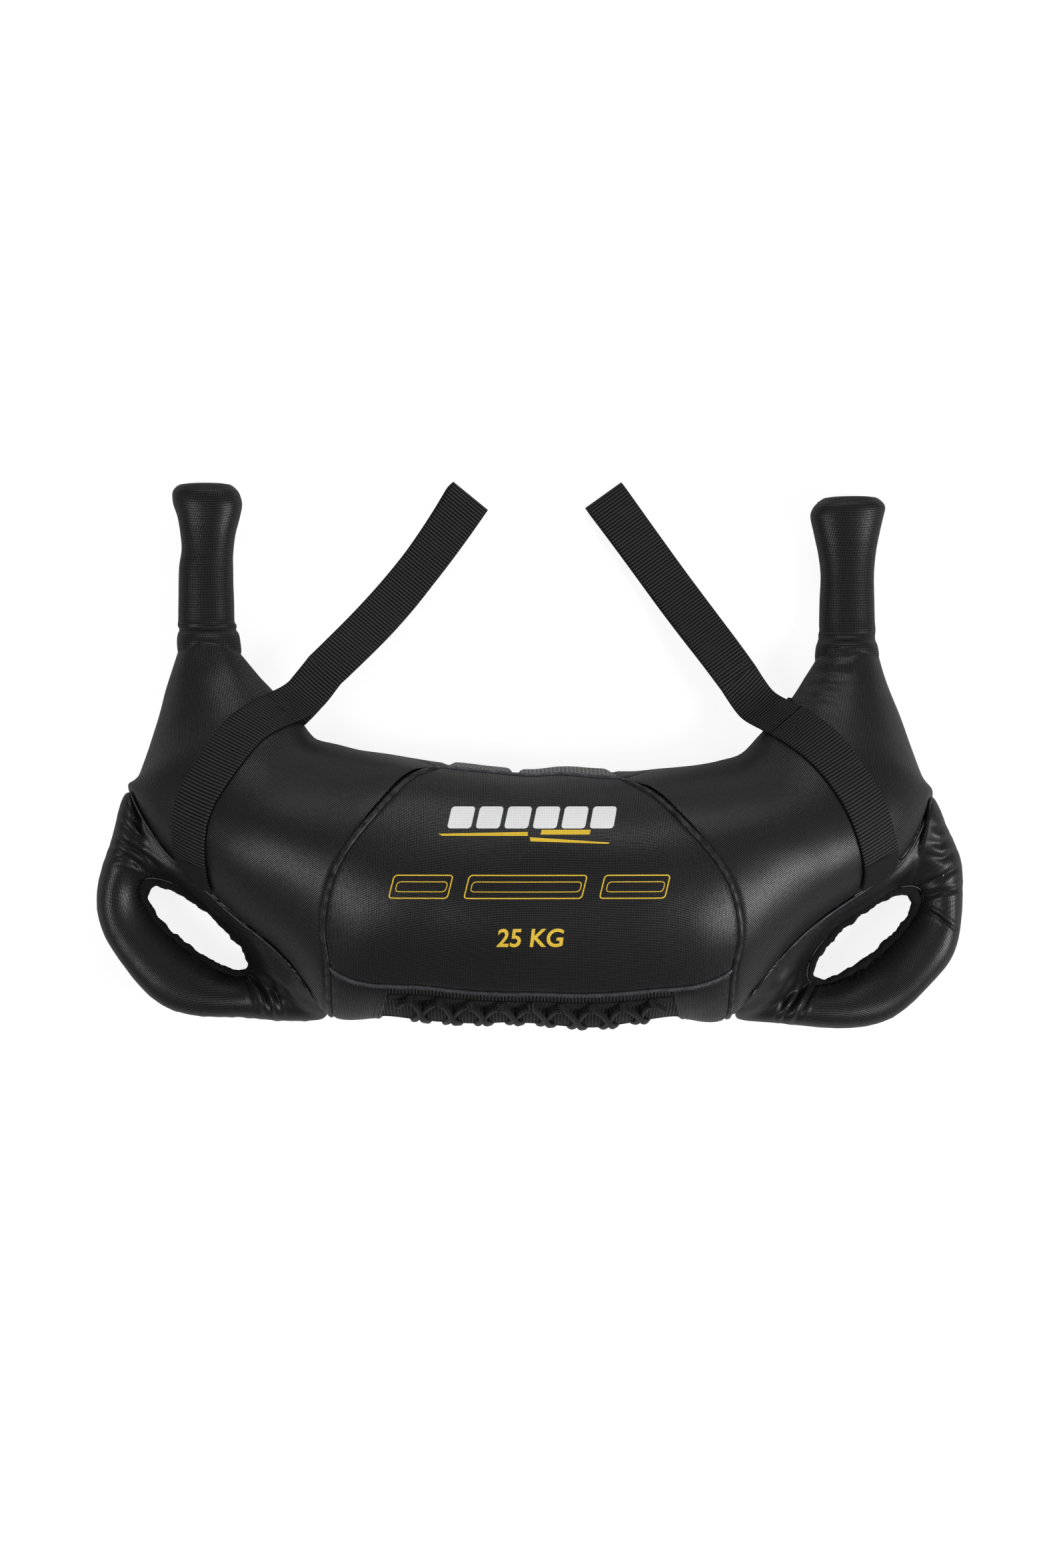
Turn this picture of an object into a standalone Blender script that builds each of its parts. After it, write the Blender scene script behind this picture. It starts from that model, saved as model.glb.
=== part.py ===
"""Bulgarian bag: a crescent training bag lying on its back.

Metres, +Z up.  The bag's bottom (the laced edge) points to -Y and its horns to +Y.
A place on the bag's skin is named by a station along the crescent and an angle round
its girth: 0 at the crook, 90 on the front, 180 on the outer edge, 270 on the rear.
"""
import math

import bmesh
import bpy
from mathutils import Vector

COLLECTION_NAME = "bulgarian_bag"

# Bag
BAG_HALF_WIDTH = 0.3645
BAG_HEIGHT = 0.3346
BAG_THICKNESS = 0.185
BOTTOM_Y = -0.2404
FABRIC_WALL = 0.0012
MESH_PAD_WALL = 0.006
SEAM_OPENING = 0.0018
CLEARANCE = 0.0003
LAY_GAP = 0.0009
STEP_ALONG_SKIN = 0.004
SLOPE_STEP = 0.01
HEADING_STEP = 0.004
EDGE_SHARE = 0.001

# Lining and filling
LINER_INSET = 0.0080
LINER_WALL = 0.0009
WADDING_INSET = 0.0125
REAR_WADDING_INSET = 0.0175
REAR_WADDING_WALL = 0.011
POUCH_INSET = 0.024
PLY_SPACING = 0.0011

# Welts
WELT_WIDTH = 0.0065
WELT_WALL = 0.0014

# Placket and lace
TONGUE_INSET = 0.0023
LACE_RADIUS = 0.0024
LACE_LAY_GAP = 0.0013
LOOP_TAPE_WALL = 0.0008

# Corner handles
HOLE_LENGTH = 0.114
HOLE_WIDTH = 0.034
HOLE_LOW_HEIGHT = 0.035
HOLE_HIGH_HEIGHT = 0.052
BINDING_HALF_WIDTH = 0.0044
BINDING_HALF_HEIGHT = 0.0048
CORNER_HALF_THICKNESS = 0.0225
CORNER_HEIGHT = 0.040
CORNER_WALL = 0.0012
CORNER_SEAM_OPENING = 0.0018
CORNER_CORE_INSET = 0.0032
PIPING_RADIUS = 0.0014

# Horns
LEFT_HORN_LENGTH = 0.1295
RIGHT_HORN_LENGTH = 0.1250
HORN_LENGTHS = {"left": LEFT_HORN_LENGTH, "right": RIGHT_HORN_LENGTH}
GRIP_WIDTH = 0.048
GRIP_THICKNESS = 0.041
FLARE_WIDTH = 0.061
FLARE_THICKNESS = 0.046
BALL_RADIUS = 0.0190
COLLAR_WALL = 0.0020
HORN_WALL = 0.0014
CORE_CLEARANCE = 0.0010
CAP_WALL = 0.0030
NECK_CLOSURE_WALL = 0.0020
NECK_CLOSURE_INSET = 0.0026

# Webbing straps
WEBBING_WIDTH = 0.038
WEBBING_WALL = 0.0018
PLY_GAP = 0.0004
STRAP_LAY_GAP = 0.0014
JUNCTION_LENGTH = 0.030
JUNCTION_TOP = 0.0440
LEFT_LOOP_LENGTH = 0.2045
RIGHT_LOOP_LENGTH = 0.2050
LOOP_LENGTHS = {"left": LEFT_LOOP_LENGTH, "right": RIGHT_LOOP_LENGTH}
LOOP_HEADING = {"left": 50.8, "right": 125.6}

# Outline of the bag from neck to middle, as shares of the half width and of the height
OUTER_SHARES = {
    "left": [
        (0.879, 0.995), (0.9075, 0.901), (0.9225, 0.805), (0.971, 0.669),
        (1.000, 0.624), (0.917, 0.468), (0.834, 0.390), (0.7207, 0.279),
        (0.590, 0.159), (0.4848, 0.0285), (0.3413, 0.0188), (0.1706, 0.005),
    ],
    "right": [
        (0.8725, 0.984), (0.894, 0.900), (0.9246, 0.803), (0.966, 0.669),
        (1.000, 0.605), (0.938, 0.455), (0.8406, 0.369), (0.7353, 0.284),
        (0.6013, 0.1626), (0.480, 0.0215), (0.343, 0.0152), (0.172, -0.0066),
    ],
}
INNER_SHARES = {
    "left": [
        (0.7227, 0.995), (0.675, 0.936), (0.619, 0.875), (0.569, 0.813),
        (0.549, 0.782), (0.529, 0.760), (0.485, 0.747), (0.4134, 0.7275),
        (0.334, 0.718), (0.2538, 0.709), (0.171, 0.697), (0.084, 0.682),
    ],
    "right": [
        (0.7095, 0.984), (0.684, 0.935), (0.6505, 0.8686), (0.609, 0.815),
        (0.568, 0.7705), (0.5215, 0.7238), (0.4665, 0.706), (0.406, 0.692),
        (0.329, 0.679), (0.255, 0.669), (0.173, 0.675), (0.0825, 0.6865),
    ],
}
OUTER_MIDDLE_SHARES = (0.0, 0.0)
INNER_MIDDLE_SHARES = (0.0, 0.676)
THICKNESS_SHARES = [
    0.29, 0.34, 0.42, 0.52, 0.58, 0.66, 0.74, 0.82, 0.89, 0.94, 0.97, 0.99, 1.0,
]
EQUATOR_SHARE = 0.45
REAR_FILL_SHARE = 1.25
REAR_CURVE_SHARE = 0.8
LAST_STATION = len(THICKNESS_SHARES) - 1
FILL_STATIONS = [
    -7.0, -6.0, -5.0, -4.0, -3.25, -2.5, -2.35, -1.5, -0.5, 0.5, 1.5, 2.35,
    2.5, 3.25, 4.0, 5.0, 6.0, 7.0,
]
RING_SIDES = 16
RING_ANGLE = 360.0 / RING_SIDES
LINER_END_STATION = 8.0

# Seams, in degrees round the girth and in stations from the middle
TOP_SEAM = 15.0
BOTTOM_SEAM = 135.0
REAR_BOTTOM_SEAM = 225.0
SIDE_SEAM = 180.0
PIPING_GIRTH = 168.0
SLIT_FRONT = 170.0
SLIT_REAR = 190.0
LINER_MOUTH_ANGLE = 10.0
TONGUE_ANGLE = 14.0
WELT_END_ANGLE = 4.0
WELT_END_STATIONS = 0.2
PIPING_FIRST_STATION = 3.55
PIPING_LAST_STATION = 7.25
# Stations of the centre seam, every 15 degrees from the crook to the outer edge
CENTRE_SEAM_STATIONS = [
    2.30, 2.50, 3.10, 3.45, 3.68, 3.86, 3.93, 3.85, 3.66, 3.33, 3.15, 3.05, 3.00,
]
CENTRE_SEAM_PITCH = 15.0
PLACKET_END_STATION = 2.15

# Lace: one pitch of its route, as shares of the pitch and degrees round the girth
LACE_PITCHES = 8
LACE_FIRST_STATION = 1.78
LACE_ROUTE = [
    (0.00, 147.5), (0.12, 149.0), (0.20, 155.0), (0.235, 167.0), (0.25, 180.0),
    (0.265, 193.0), (0.30, 205.0), (0.38, 211.0), (0.50, 212.5), (0.62, 211.0),
    (0.70, 205.0), (0.735, 193.0), (0.75, 180.0), (0.765, 167.0), (0.80, 155.0),
    (0.88, 149.0),
]
LACE_END_ROWS = 3
TAPE_END_SHARE = 0.35
LOOP_HALF_SHARE = 0.048
# Loop tape: degrees from the top of the lace's turn, and lift in lace diameters
LOOP_TAPE_ROWS = [
    (-8.5, 0.0), (-5.2, 0.0), (-3.9, 0.0), (-2.3, 0.85), (0.0, 1.38), (2.6, 0.85),
    (4.2, 0.0), (5.6, 0.0),
]

# Free outline of a corner handle, from its upper end round to its lower end
CORNER_SHARES = {
    "left": [
        (1.0014, 0.617), (1.0233, 0.5254), (1.058, 0.426), (1.077, 0.3407),
        (1.0546, 0.2663), (1.0296, 0.1996), (0.9737, 0.1207), (0.8993, 0.0397),
        (0.8134, 0.0164), (0.6848, 0.0093), (0.554, 0.0114), (0.500, 0.0203),
    ],
    "right": [
        (1.0026, 0.6007), (1.0258, 0.5251), (1.0636, 0.4421), (1.0747, 0.3537),
        (1.0747, 0.260), (1.0408, 0.1772), (0.9945, 0.0961), (0.9168, 0.0276),
        (0.8256, -0.0100), (0.6928, -0.0131), (0.568, -0.0049), (0.5007, 0.0111),
    ],
}
# Degrees round the hole that face those points, from its lower end over its free side
CORNER_HOLE_ANGLES = [
    166.0, 174.0, 182.0, 192.0, 204.0, 222.0, 250.0, 280.0, 305.0, 330.0, 346.0, 356.0,
]
CORNER_THICKNESS_SHARES = [
    1.05, 1.08, 1.0, 0.95, 0.92, 0.92, 0.95, 0.97, 1.0, 1.08, 1.1, 0.95,
]
CORNER_HEIGHT_SHARES = [
    1.20, 1.10, 1.02, 1.0, 1.0, 1.0, 1.0, 1.0, 1.02, 1.06, 1.15, 1.30,
]
# The side that is sewn to the bag: station, degrees round the hole, thickness share
CORNER_SEAM_ROWS = [
    (3.45, 370.0, 0.80), (4.10, 392.0, 0.60), (4.80, 422.0, 0.42), (5.50, 448.0, 0.38),
    (6.20, 474.0, 0.42), (6.90, 500.0, 0.60), (7.50, 515.0, 0.82),
]
CORE_REACH_SHARES = (0.06, 0.53)
HOLE_TILT = 39.0
# Centre of each hand hole, as shares of the half width and of the height
HOLE_CENTRE_SHARES = {"left": (-0.8285, 0.2534), "right": (0.8285, 0.2325)}
RING_STATIONS = 32
SECTION_SIDES = 10
CORE_SIDES = 8
BINDING_SIDES = 6
PIPING_STEPS = 19
SLIT_ANGLE = 14.0
LIP_TAPER_SHARE = 0.35

# Horn: shares of its length, and of the way from the grip's half size to the flare's
HORN_PROFILE_SHARES = [
    (0.10, 0.0), (0.35, -0.05), (0.60, -0.12), (0.78, 0.45), (0.93, 1.0), (1.0, 0.45),
]
BALL_LATITUDES = [-75.0, -55.0, -35.0, -15.0, 0.0]
CUP_LATITUDES = [-80.0, -65.0, -50.0, -35.0]
HORN_SIDES = 16

# Strap on the front of the bag: stations and degrees, from the corner to the crook
FRONT_STRAP_PLACES = {
    "left": [
        (-6.32, 160.0), (-6.96, 119.3), (-7.58, 97.0), (-8.45, 81.2), (-9.25, 62.0),
        (-9.55, 42.0), (-9.58, 27.0),
    ],
    "right": [
        (6.30, 160.0), (6.55, 137.0), (7.07, 115.0), (7.60, 98.0), (8.10, 82.0),
        (8.75, 62.0), (9.15, 42.0), (9.25, 27.0),
    ],
}
REAR_STRAP_PLACES = {
    "left": [(-9.50, 6.0), (-9.55, -12.0), (-9.60, -36.0)],
    "right": [(9.18, 6.0), (9.25, -12.0), (9.32, -36.0)],
}
# Fold line of each free strap, as shares of the half width and of the height
LOOP_START_SHARES = {"left": (-0.5089, 0.9498), "right": (0.5158, 0.9289)}
# Free strap seen from its side: shares of its length and of the junction's height
LOOP_PROFILE_SHARES = [
    (0.0, 0.980), (0.12, 0.920), (0.30, 0.680), (0.50, 0.450), (0.70, 0.360),
    (0.85, 0.310), (0.95, 0.265), (0.985, 0.215), (1.0, 0.140), (0.985, 0.060),
    (0.95, 0.030), (0.85, 0.026), (0.70, 0.026), (0.55, 0.030), (0.44, 0.080),
    (0.30, 0.300), (0.14, 0.700), (0.0, 0.930),
]
LOOP_STEPS = 44

# Finishes: colour, roughness, metallic
FINISHES = {
    "leatherette": ((0.018, 0.017, 0.021), 0.46, 0.0),
    "ribbed_insert": ((0.020, 0.020, 0.022), 0.62, 0.0),
    "webbing": ((0.017, 0.017, 0.019), 0.60, 0.0),
    "binding": ((0.022, 0.021, 0.023), 0.85, 0.0),
    "spacer_mesh": ((0.10, 0.10, 0.105), 0.88, 0.0),
    "cord": ((0.012, 0.012, 0.013), 0.70, 0.0),
    "lining": ((0.05, 0.05, 0.055), 0.80, 0.0),
    "wadding": ((0.60, 0.60, 0.57), 0.95, 0.0),
    "sand_pouch": ((0.24, 0.21, 0.16), 0.85, 0.0),
}


def clear_scene():
    for item in list(bpy.data.objects):
        bpy.data.objects.remove(item, do_unlink=True)


def make_collection():
    home = bpy.data.collections.new(COLLECTION_NAME)
    bpy.context.scene.collection.children.link(home)
    return home


def finish(name):
    """The named finish as a material, made once."""
    found = bpy.data.materials.get(name)
    if found:
        return found
    colour, roughness, metallic = FINISHES[name]
    made = bpy.data.materials.new(name)
    made.use_nodes = True
    shader = made.node_tree.nodes["Principled BSDF"]
    shader.inputs["Base Color"].default_value = (*colour, 1.0)
    shader.inputs["Roughness"].default_value = roughness
    shader.inputs["Metallic"].default_value = metallic
    return made


def add_object(name, mesh, finish_name, home, parent=None):
    made = bpy.data.objects.new(name, mesh)
    mesh.materials.append(finish(finish_name))
    mesh.shade_smooth()
    home.objects.link(made)
    if parent:
        made.parent = parent
        made.matrix_parent_inverse = parent.matrix_world.inverted()
    return made


def add_wall(item, thickness, offset=-1.0):
    wall = item.modifiers.new("wall", "SOLIDIFY")
    wall.thickness = thickness
    wall.offset = offset
    wall.use_even_offset = False


def smooth_between(table, place):
    """A point of the smooth curve through the table's rows, at a fractional row."""
    last = len(table) - 1
    place = min(max(place, 0.0), float(last))
    row = min(int(place), last - 1)
    s = place - row
    p0 = table[max(row - 1, 0)]
    p1 = table[row]
    p2 = table[row + 1]
    p3 = table[min(row + 2, last)]
    return tuple(
        0.5 * (2 * b + (c - a) * s + (2 * a - 5 * b + 4 * c - d) * s * s
               + (3 * b - a - 3 * c + d) * s * s * s)
        for a, b, c, d in zip(p0, p1, p2, p3)
    )


def outline_point(shares):
    """A point of the outline from its shares of the half width and of the height."""
    return shares[0] * BAG_HALF_WIDTH, BOTTOM_Y + shares[1] * BAG_HEIGHT


def outline_rows(shares, middle_share):
    """Rows from the left neck to the right neck, in metres."""
    left = [(-x, y) for x, y in shares["left"]]
    return [outline_point(row) for row in left + [middle_share] + shares["right"][::-1]]


OUTER_ROWS = outline_rows(OUTER_SHARES, OUTER_MIDDLE_SHARES)
INNER_ROWS = outline_rows(INNER_SHARES, INNER_MIDDLE_SHARES)
THICKNESS_ROWS = [(share,) for share in THICKNESS_SHARES]
THICKNESS_ROWS += THICKNESS_ROWS[-2::-1]


def skin(station, girth, lift=0.0, floor=0.0):
    """A point of the bag's skin, or of a ply outside (+) or inside (-) it."""
    place = station + LAST_STATION
    outer = Vector(smooth_between(OUTER_ROWS, place))
    inner = Vector(smooth_between(INNER_ROWS, place))
    thickness = smooth_between(THICKNESS_ROWS, place)[0] * BAG_THICKNESS
    half = (outer - inner) / 2
    middle = (outer + inner) / 2
    angle = math.radians(girth)
    spot = middle - half.normalized() * (half.length + lift) * math.cos(angle)
    equator = thickness * EQUATOR_SHARE
    rise = math.sin(angle)
    if rise >= 0.0:
        height = equator + (thickness - equator + lift) * rise
    else:
        height = equator - (equator * REAR_FILL_SHARE + lift) * abs(rise) ** REAR_CURVE_SHARE
    return Vector((spot.x, spot.y, max(height, floor)))


def skin_slopes(station, girth, lift=0.0):
    """How far the skin's point moves per station and per degree."""
    step = SLOPE_STEP
    along = skin(station + step, girth, lift) - skin(station - step, girth, lift)
    around = skin(station, girth + step, lift) - skin(station, girth - step, lift)
    return along / (2 * step), around / (2 * step)


def skin_normal(station, girth):
    along, around = skin_slopes(station, girth)
    return around.cross(along).normalized()


def walk(station, girth, heading, distance):
    """The station and girth reached by walking on the skin along a heading."""
    count = max(1, math.ceil(abs(distance) / STEP_ALONG_SKIN))
    stride = distance / count
    for _ in range(count):
        along, around = skin_slopes(station, girth)
        wanted = heading * stride
        a = along.dot(along)
        b = along.dot(around)
        c = around.dot(around)
        e = along.dot(wanted)
        f = around.dot(wanted)
        det = a * c - b * b
        station += (c * e - b * f) / det
        girth += (a * f - b * e) / det
    return station, girth


def centre_seam(side, girth):
    """Station of the curved seam beside the centre panel."""
    from_crook = abs((girth + SIDE_SEAM) % (2 * SIDE_SEAM) - SIDE_SEAM)
    rows = [(station,) for station in CENTRE_SEAM_STATIONS]
    station = smooth_between(rows, from_crook / CENTRE_SEAM_PITCH)[0]
    return -station if side == "left" else station


def grid_mesh(name, columns, rows, place):
    """A grid whose points are put at place(share across, share down)."""
    bm = bmesh.new()
    bmesh.ops.create_grid(bm, x_segments=columns, y_segments=rows, size=1.0)
    for vert in bm.verts:
        vert.co = place((vert.co.x + 1.0) / 2.0, (1.0 - vert.co.y) / 2.0)
    mesh = bpy.data.meshes.new(name)
    bm.to_mesh(mesh)
    bm.free()
    return mesh


def skin_patch(home, name, finish_name, starts, ends, girth_from, girth_to, columns, rows,
               wall=FABRIC_WALL, lift=0.0, floor=0.0, opening=SEAM_OPENING, parent=None):
    """A panel of one ply between two seams across and two seams round the girth."""
    def place(share_along, share_around):
        girth = girth_from + (girth_to - girth_from) * share_around
        first = starts(girth)
        last = ends(girth)
        station = first + (last - first) * share_along
        along, around = skin_slopes(station, girth, lift)
        if share_along < EDGE_SHARE:
            station += opening / 2 / along.length
        if share_along > 1.0 - EDGE_SHARE:
            station -= opening / 2 / along.length
        if share_around < EDGE_SHARE:
            girth += opening / 2 / around.length
        if share_around > 1.0 - EDGE_SHARE:
            girth -= opening / 2 / around.length
        return skin(station, girth, lift, floor)

    item = add_object(name, grid_mesh(name, columns, rows, place), finish_name, home, parent)
    add_wall(item, wall)
    return item


def strip_object(home, name, finish_name, rows, wall, parent=None, offset=1.0):
    """A band through rows of points, thickened to one side."""
    columns = len(rows[0]) - 1

    def place(share_across, share_down):
        row = rows[round(share_down * (len(rows) - 1))]
        return row[round(share_across * columns)]

    mesh = grid_mesh(name, columns, len(rows) - 1, place)
    item = add_object(name, mesh, finish_name, home, parent)
    add_wall(item, wall, offset)
    return item


def row_on_skin(station, girth, heading, width, lift, columns):
    """Points across a band that lies on the skin, from left to right of its heading."""
    normal = skin_normal(station, girth)
    across = normal.cross(heading).normalized()
    row = []
    for column in range(columns + 1):
        distance = width * (column / columns - 0.5)
        place = walk(station, girth, across, distance)
        row.append(skin(*place, lift))
    return row


def band_rows(path, width, lift, steps, columns):
    """Rows of a band that follows path(share) over the skin."""
    rows = []
    for step in range(steps + 1):
        share = step / steps
        ahead = skin(*path(min(share + HEADING_STEP, 1.0)))
        behind = skin(*path(max(share - HEADING_STEP, 0.0)))
        heading = (ahead - behind).normalized()
        rows.append(row_on_skin(*path(share), heading, width, lift, columns))
    return rows


def panels(home):
    """The bag's outer skin: three panels in front and three behind."""
    neck = float(LAST_STATION)
    for side, sign in (("left", -1), ("right", 1)):
        def neck_end(girth, sign=sign):
            return sign * neck

        def seam(girth, side=side):
            return centre_seam(side, girth)

        starts, ends = (neck_end, seam) if side == "left" else (seam, neck_end)
        skin_patch(home, f"front_{side}_panel", "leatherette", starts, ends,
                   TOP_SEAM, SIDE_SEAM, 12, 8)
        skin_patch(home, f"rear_{side}_panel", "leatherette", starts, ends,
                   SIDE_SEAM, 360.0 + TOP_SEAM, 12, 10)

    def left_seam(girth):
        return centre_seam("left", girth)

    def right_seam(girth):
        return centre_seam("right", girth)

    skin_patch(home, "front_centre_panel", "leatherette", left_seam, right_seam,
               TOP_SEAM, BOTTOM_SEAM, 12, 8)
    skin_patch(home, "rear_mesh_pad", "spacer_mesh", left_seam, right_seam,
               REAR_BOTTOM_SEAM, 360.0 + TOP_SEAM, 12, 10, wall=MESH_PAD_WALL)


def placket(home):
    """Plain ends, two ribbed flaps with a slit between them and the tongue behind."""
    stop = PLACKET_END_STATION
    for side, sign in (("left", -1), ("right", 1)):
        def seam(girth, side=side):
            return centre_seam(side, girth)

        def inner_end(girth, sign=sign):
            return sign * stop

        starts, ends = (seam, inner_end) if side == "left" else (inner_end, seam)
        skin_patch(home, f"{side}_placket_end", "leatherette", starts, ends,
                   BOTTOM_SEAM, REAR_BOTTOM_SEAM, 3, 10)

    def first(girth):
        return -stop

    def last(girth):
        return stop

    skin_patch(home, "front_lace_flap", "ribbed_insert", first, last,
               BOTTOM_SEAM, SLIT_FRONT, 12, 3)
    skin_patch(home, "rear_lace_flap", "ribbed_insert", first, last,
               SLIT_REAR, REAR_BOTTOM_SEAM, 12, 3)
    skin_patch(home, "lace_tongue", "ribbed_insert", first, last,
               SLIT_FRONT - TONGUE_ANGLE, SLIT_REAR + TONGUE_ANGLE, 12, 3,
               lift=-TONGUE_INSET)


def filling(home):
    """Liner, wadding and sand pouches, nested on the flat of the rear."""
    liner_floor = MESH_PAD_WALL + CLEARANCE
    wadding_floor = liner_floor + LINER_WALL + CLEARANCE
    pouch_floor = wadding_floor + REAR_WADDING_WALL + CLEARANCE

    def fixed(station):
        return lambda girth: station

    skin_patch(home, "inner_liner", "lining", fixed(-LINER_END_STATION),
               fixed(LINER_END_STATION), SLIT_REAR + LINER_MOUTH_ANGLE,
               360.0 + SLIT_FRONT - LINER_MOUTH_ANGLE, 16, 16,
               wall=LINER_WALL, lift=-LINER_INSET, floor=liner_floor)
    front_angles = [RING_ANGLE * k for k in range(1, RING_SIDES // 2)]
    rear_angles = [RING_ANGLE * k for k in range(RING_SIDES // 2 + 1, RING_SIDES)]
    inner = POUCH_INSET - PLY_SPACING
    wadding(home, "front_wadding", front_angles, (WADDING_INSET, 0.0), (inner, 0.0))
    wadding(home, "rear_wadding", rear_angles, (REAR_WADDING_INSET, wadding_floor),
            (inner, wadding_floor + REAR_WADDING_WALL))
    third = len(FILL_STATIONS) // 3
    for place, name in enumerate(("left", "centre", "right")):
        stations = FILL_STATIONS[place * third:(place + 1) * third]
        pouch(home, f"sand_pouch_{name}", stations, pouch_floor)


def loft_object(home, name, finish_name, rings, parent=None, closed=False,
                open_section=False, cap_first=True, cap_last=True):
    """A body through rings of points: capped, open, or closed on itself."""
    bm = bmesh.new()
    loops = [[bm.verts.new(point) for point in ring] for ring in rings]
    pairs = list(zip(loops, loops[1:]))
    if closed:
        pairs.append((loops[-1], loops[0]))
    count = len(loops[0])
    sides = count - 1 if open_section else count
    for one, two in pairs:
        for corner in range(sides):
            after = (corner + 1) % count
            bm.faces.new((one[corner], one[after], two[after], two[corner]))
    if cap_first and not closed:
        bm.faces.new(loops[0])
    if cap_last and not closed:
        bm.faces.new(loops[-1])
    bmesh.ops.recalc_face_normals(bm, faces=bm.faces)
    mesh = bpy.data.meshes.new(name)
    bm.to_mesh(mesh)
    bm.free()
    return add_object(name, mesh, finish_name, home, parent)


def wadding(home, name, angles, outer, inner):
    """A layer of wadding between two plies, each given by its inset and its floor."""
    rings = []
    for station in FILL_STATIONS:
        points = [skin(station, angle, -outer[0], outer[1]) for angle in angles]
        points += [skin(station, angle, -inner[0], inner[1]) for angle in reversed(angles)]
        rings.append(points)
    loft_object(home, name, "wadding", rings)


def pouch(home, name, stations, floor):
    """A closed sand pouch: rings round the girth, capped at both ends."""
    rings = [[skin(station, RING_ANGLE * k, -POUCH_INSET, floor) for k in range(RING_SIDES)]
             for station in stations]
    loft_object(home, name, "sand_pouch", rings)


def welts(home):
    """Raised seams of the front: two curved ones, one above and one below the panel."""
    first_girth = TOP_SEAM + WELT_END_ANGLE
    last_girth = BOTTOM_SEAM - WELT_END_ANGLE
    for side in ("left", "right"):
        def seam_path(share, side=side):
            girth = first_girth + (last_girth - first_girth) * share
            return centre_seam(side, girth), girth

        rows = band_rows(seam_path, WELT_WIDTH, LAY_GAP, 16, 2)
        strip_object(home, f"{side}_centre_welt", "leatherette", rows, WELT_WALL)

    for name, girth in (("top_welt", TOP_SEAM), ("bottom_welt", BOTTOM_SEAM)):
        def level_path(share, girth=girth):
            first = centre_seam("left", girth) + WELT_END_STATIONS
            last = centre_seam("right", girth) - WELT_END_STATIONS
            return first + (last - first) * share, girth

        rows = band_rows(level_path, WELT_WIDTH, LAY_GAP, 24, 2)
        strip_object(home, name, "leatherette", rows, WELT_WALL)


def smooth_round(table, count):
    """Evenly indexed points of the smooth closed curve through the table's rows."""
    rows = len(table)
    looped = [table[-1]] + list(table) + [table[0], table[1]]
    return [smooth_between(looped, 1.0 + rows * step / count) for step in range(count)]


def hole_point(side, angle, grow):
    """A point of the hand hole's outline, grown outwards."""
    sign = -1.0 if side == "left" else 1.0
    turn = math.radians(angle)
    x = (HOLE_LENGTH / 2 + grow) * math.cos(turn)
    y = (HOLE_WIDTH / 2 + grow) * math.sin(turn)
    tilt = math.radians(HOLE_TILT)
    across = x * math.cos(tilt) + y * math.sin(tilt)
    down = -x * math.sin(tilt) + y * math.cos(tilt)
    rise = (HOLE_HIGH_HEIGHT - HOLE_LOW_HEIGHT) * (math.sin(turn) + 1.0) / 2
    centre = outline_point(HOLE_CENTRE_SHARES[side])
    return Vector((centre[0] - sign * across, centre[1] + down, HOLE_LOW_HEIGHT + rise))


def corner_rows(side):
    """Round one corner handle: outer point, facing point of the hole, half thickness."""
    sign = -1.0 if side == "left" else 1.0
    rows = []
    table = zip(CORNER_SHARES[side], CORNER_HOLE_ANGLES, CORNER_THICKNESS_SHARES,
                CORNER_HEIGHT_SHARES)
    for (x, y), angle, thick, high in table:
        spot = outline_point((sign * x, y))
        rows.append((*spot, high * CORNER_HEIGHT, angle, thick * CORNER_HALF_THICKNESS))
    for station, angle, thick in CORNER_SEAM_ROWS:
        edge = skin(sign * station, SIDE_SEAM, CORNER_SEAM_OPENING)
        rows.append((*edge, angle, thick * CORNER_HALF_THICKNESS))
    return [(*row[:3], math.cos(math.radians(row[3])), math.sin(math.radians(row[3])),
             row[4]) for row in rows]


def corner_section(side, row, inset, angles):
    """Points of the handle's section, from the hole over the top and back beneath."""
    outer = Vector(row[:3])
    facing = math.degrees(math.atan2(row[4], row[3]))
    rim = hole_point(side, facing, 2 * BINDING_HALF_WIDTH + CLEARANCE)
    middle = (outer + rim) / 2
    half = (rim - outer) / 2
    reach = half * ((half.length - inset) / half.length)
    points = []
    for angle in angles:
        turn = math.radians(angle)
        cosine = math.cos(turn)
        taper = 1.0 - LIP_TAPER_SHARE * ((1.0 + cosine) / 2) ** 2
        height = (row[5] - inset) * math.sin(turn) * taper
        points.append(middle + reach * cosine + Vector((0.0, 0.0, height)))
    return points


def corner_handle(home, side):
    """A padded ring round a hand hole: its cover, slit at the hole, and its padding."""
    slit_turn = 360.0 - 2 * SLIT_ANGLE
    open_angles = [SLIT_ANGLE + slit_turn * k / SECTION_SIDES for k in range(SECTION_SIDES + 1)]
    core_angles = [360.0 * k / CORE_SIDES for k in range(CORE_SIDES)]
    ring_rows = smooth_round(corner_rows(side), RING_STATIONS)
    rings = [corner_section(side, row, 0.0, open_angles) for row in ring_rows]
    cover = loft_object(home, f"{side}_corner_cover", "leatherette", rings,
                        closed=True, open_section=True)
    add_wall(cover, CORNER_WALL)
    first, last = (round(RING_STATIONS * share) for share in CORE_REACH_SHARES)
    rings = [corner_section(side, row, CORNER_CORE_INSET, core_angles)
             for row in ring_rows[first:last + 1]]
    loft_object(home, f"{side}_corner_core", "wadding", rings)


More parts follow.
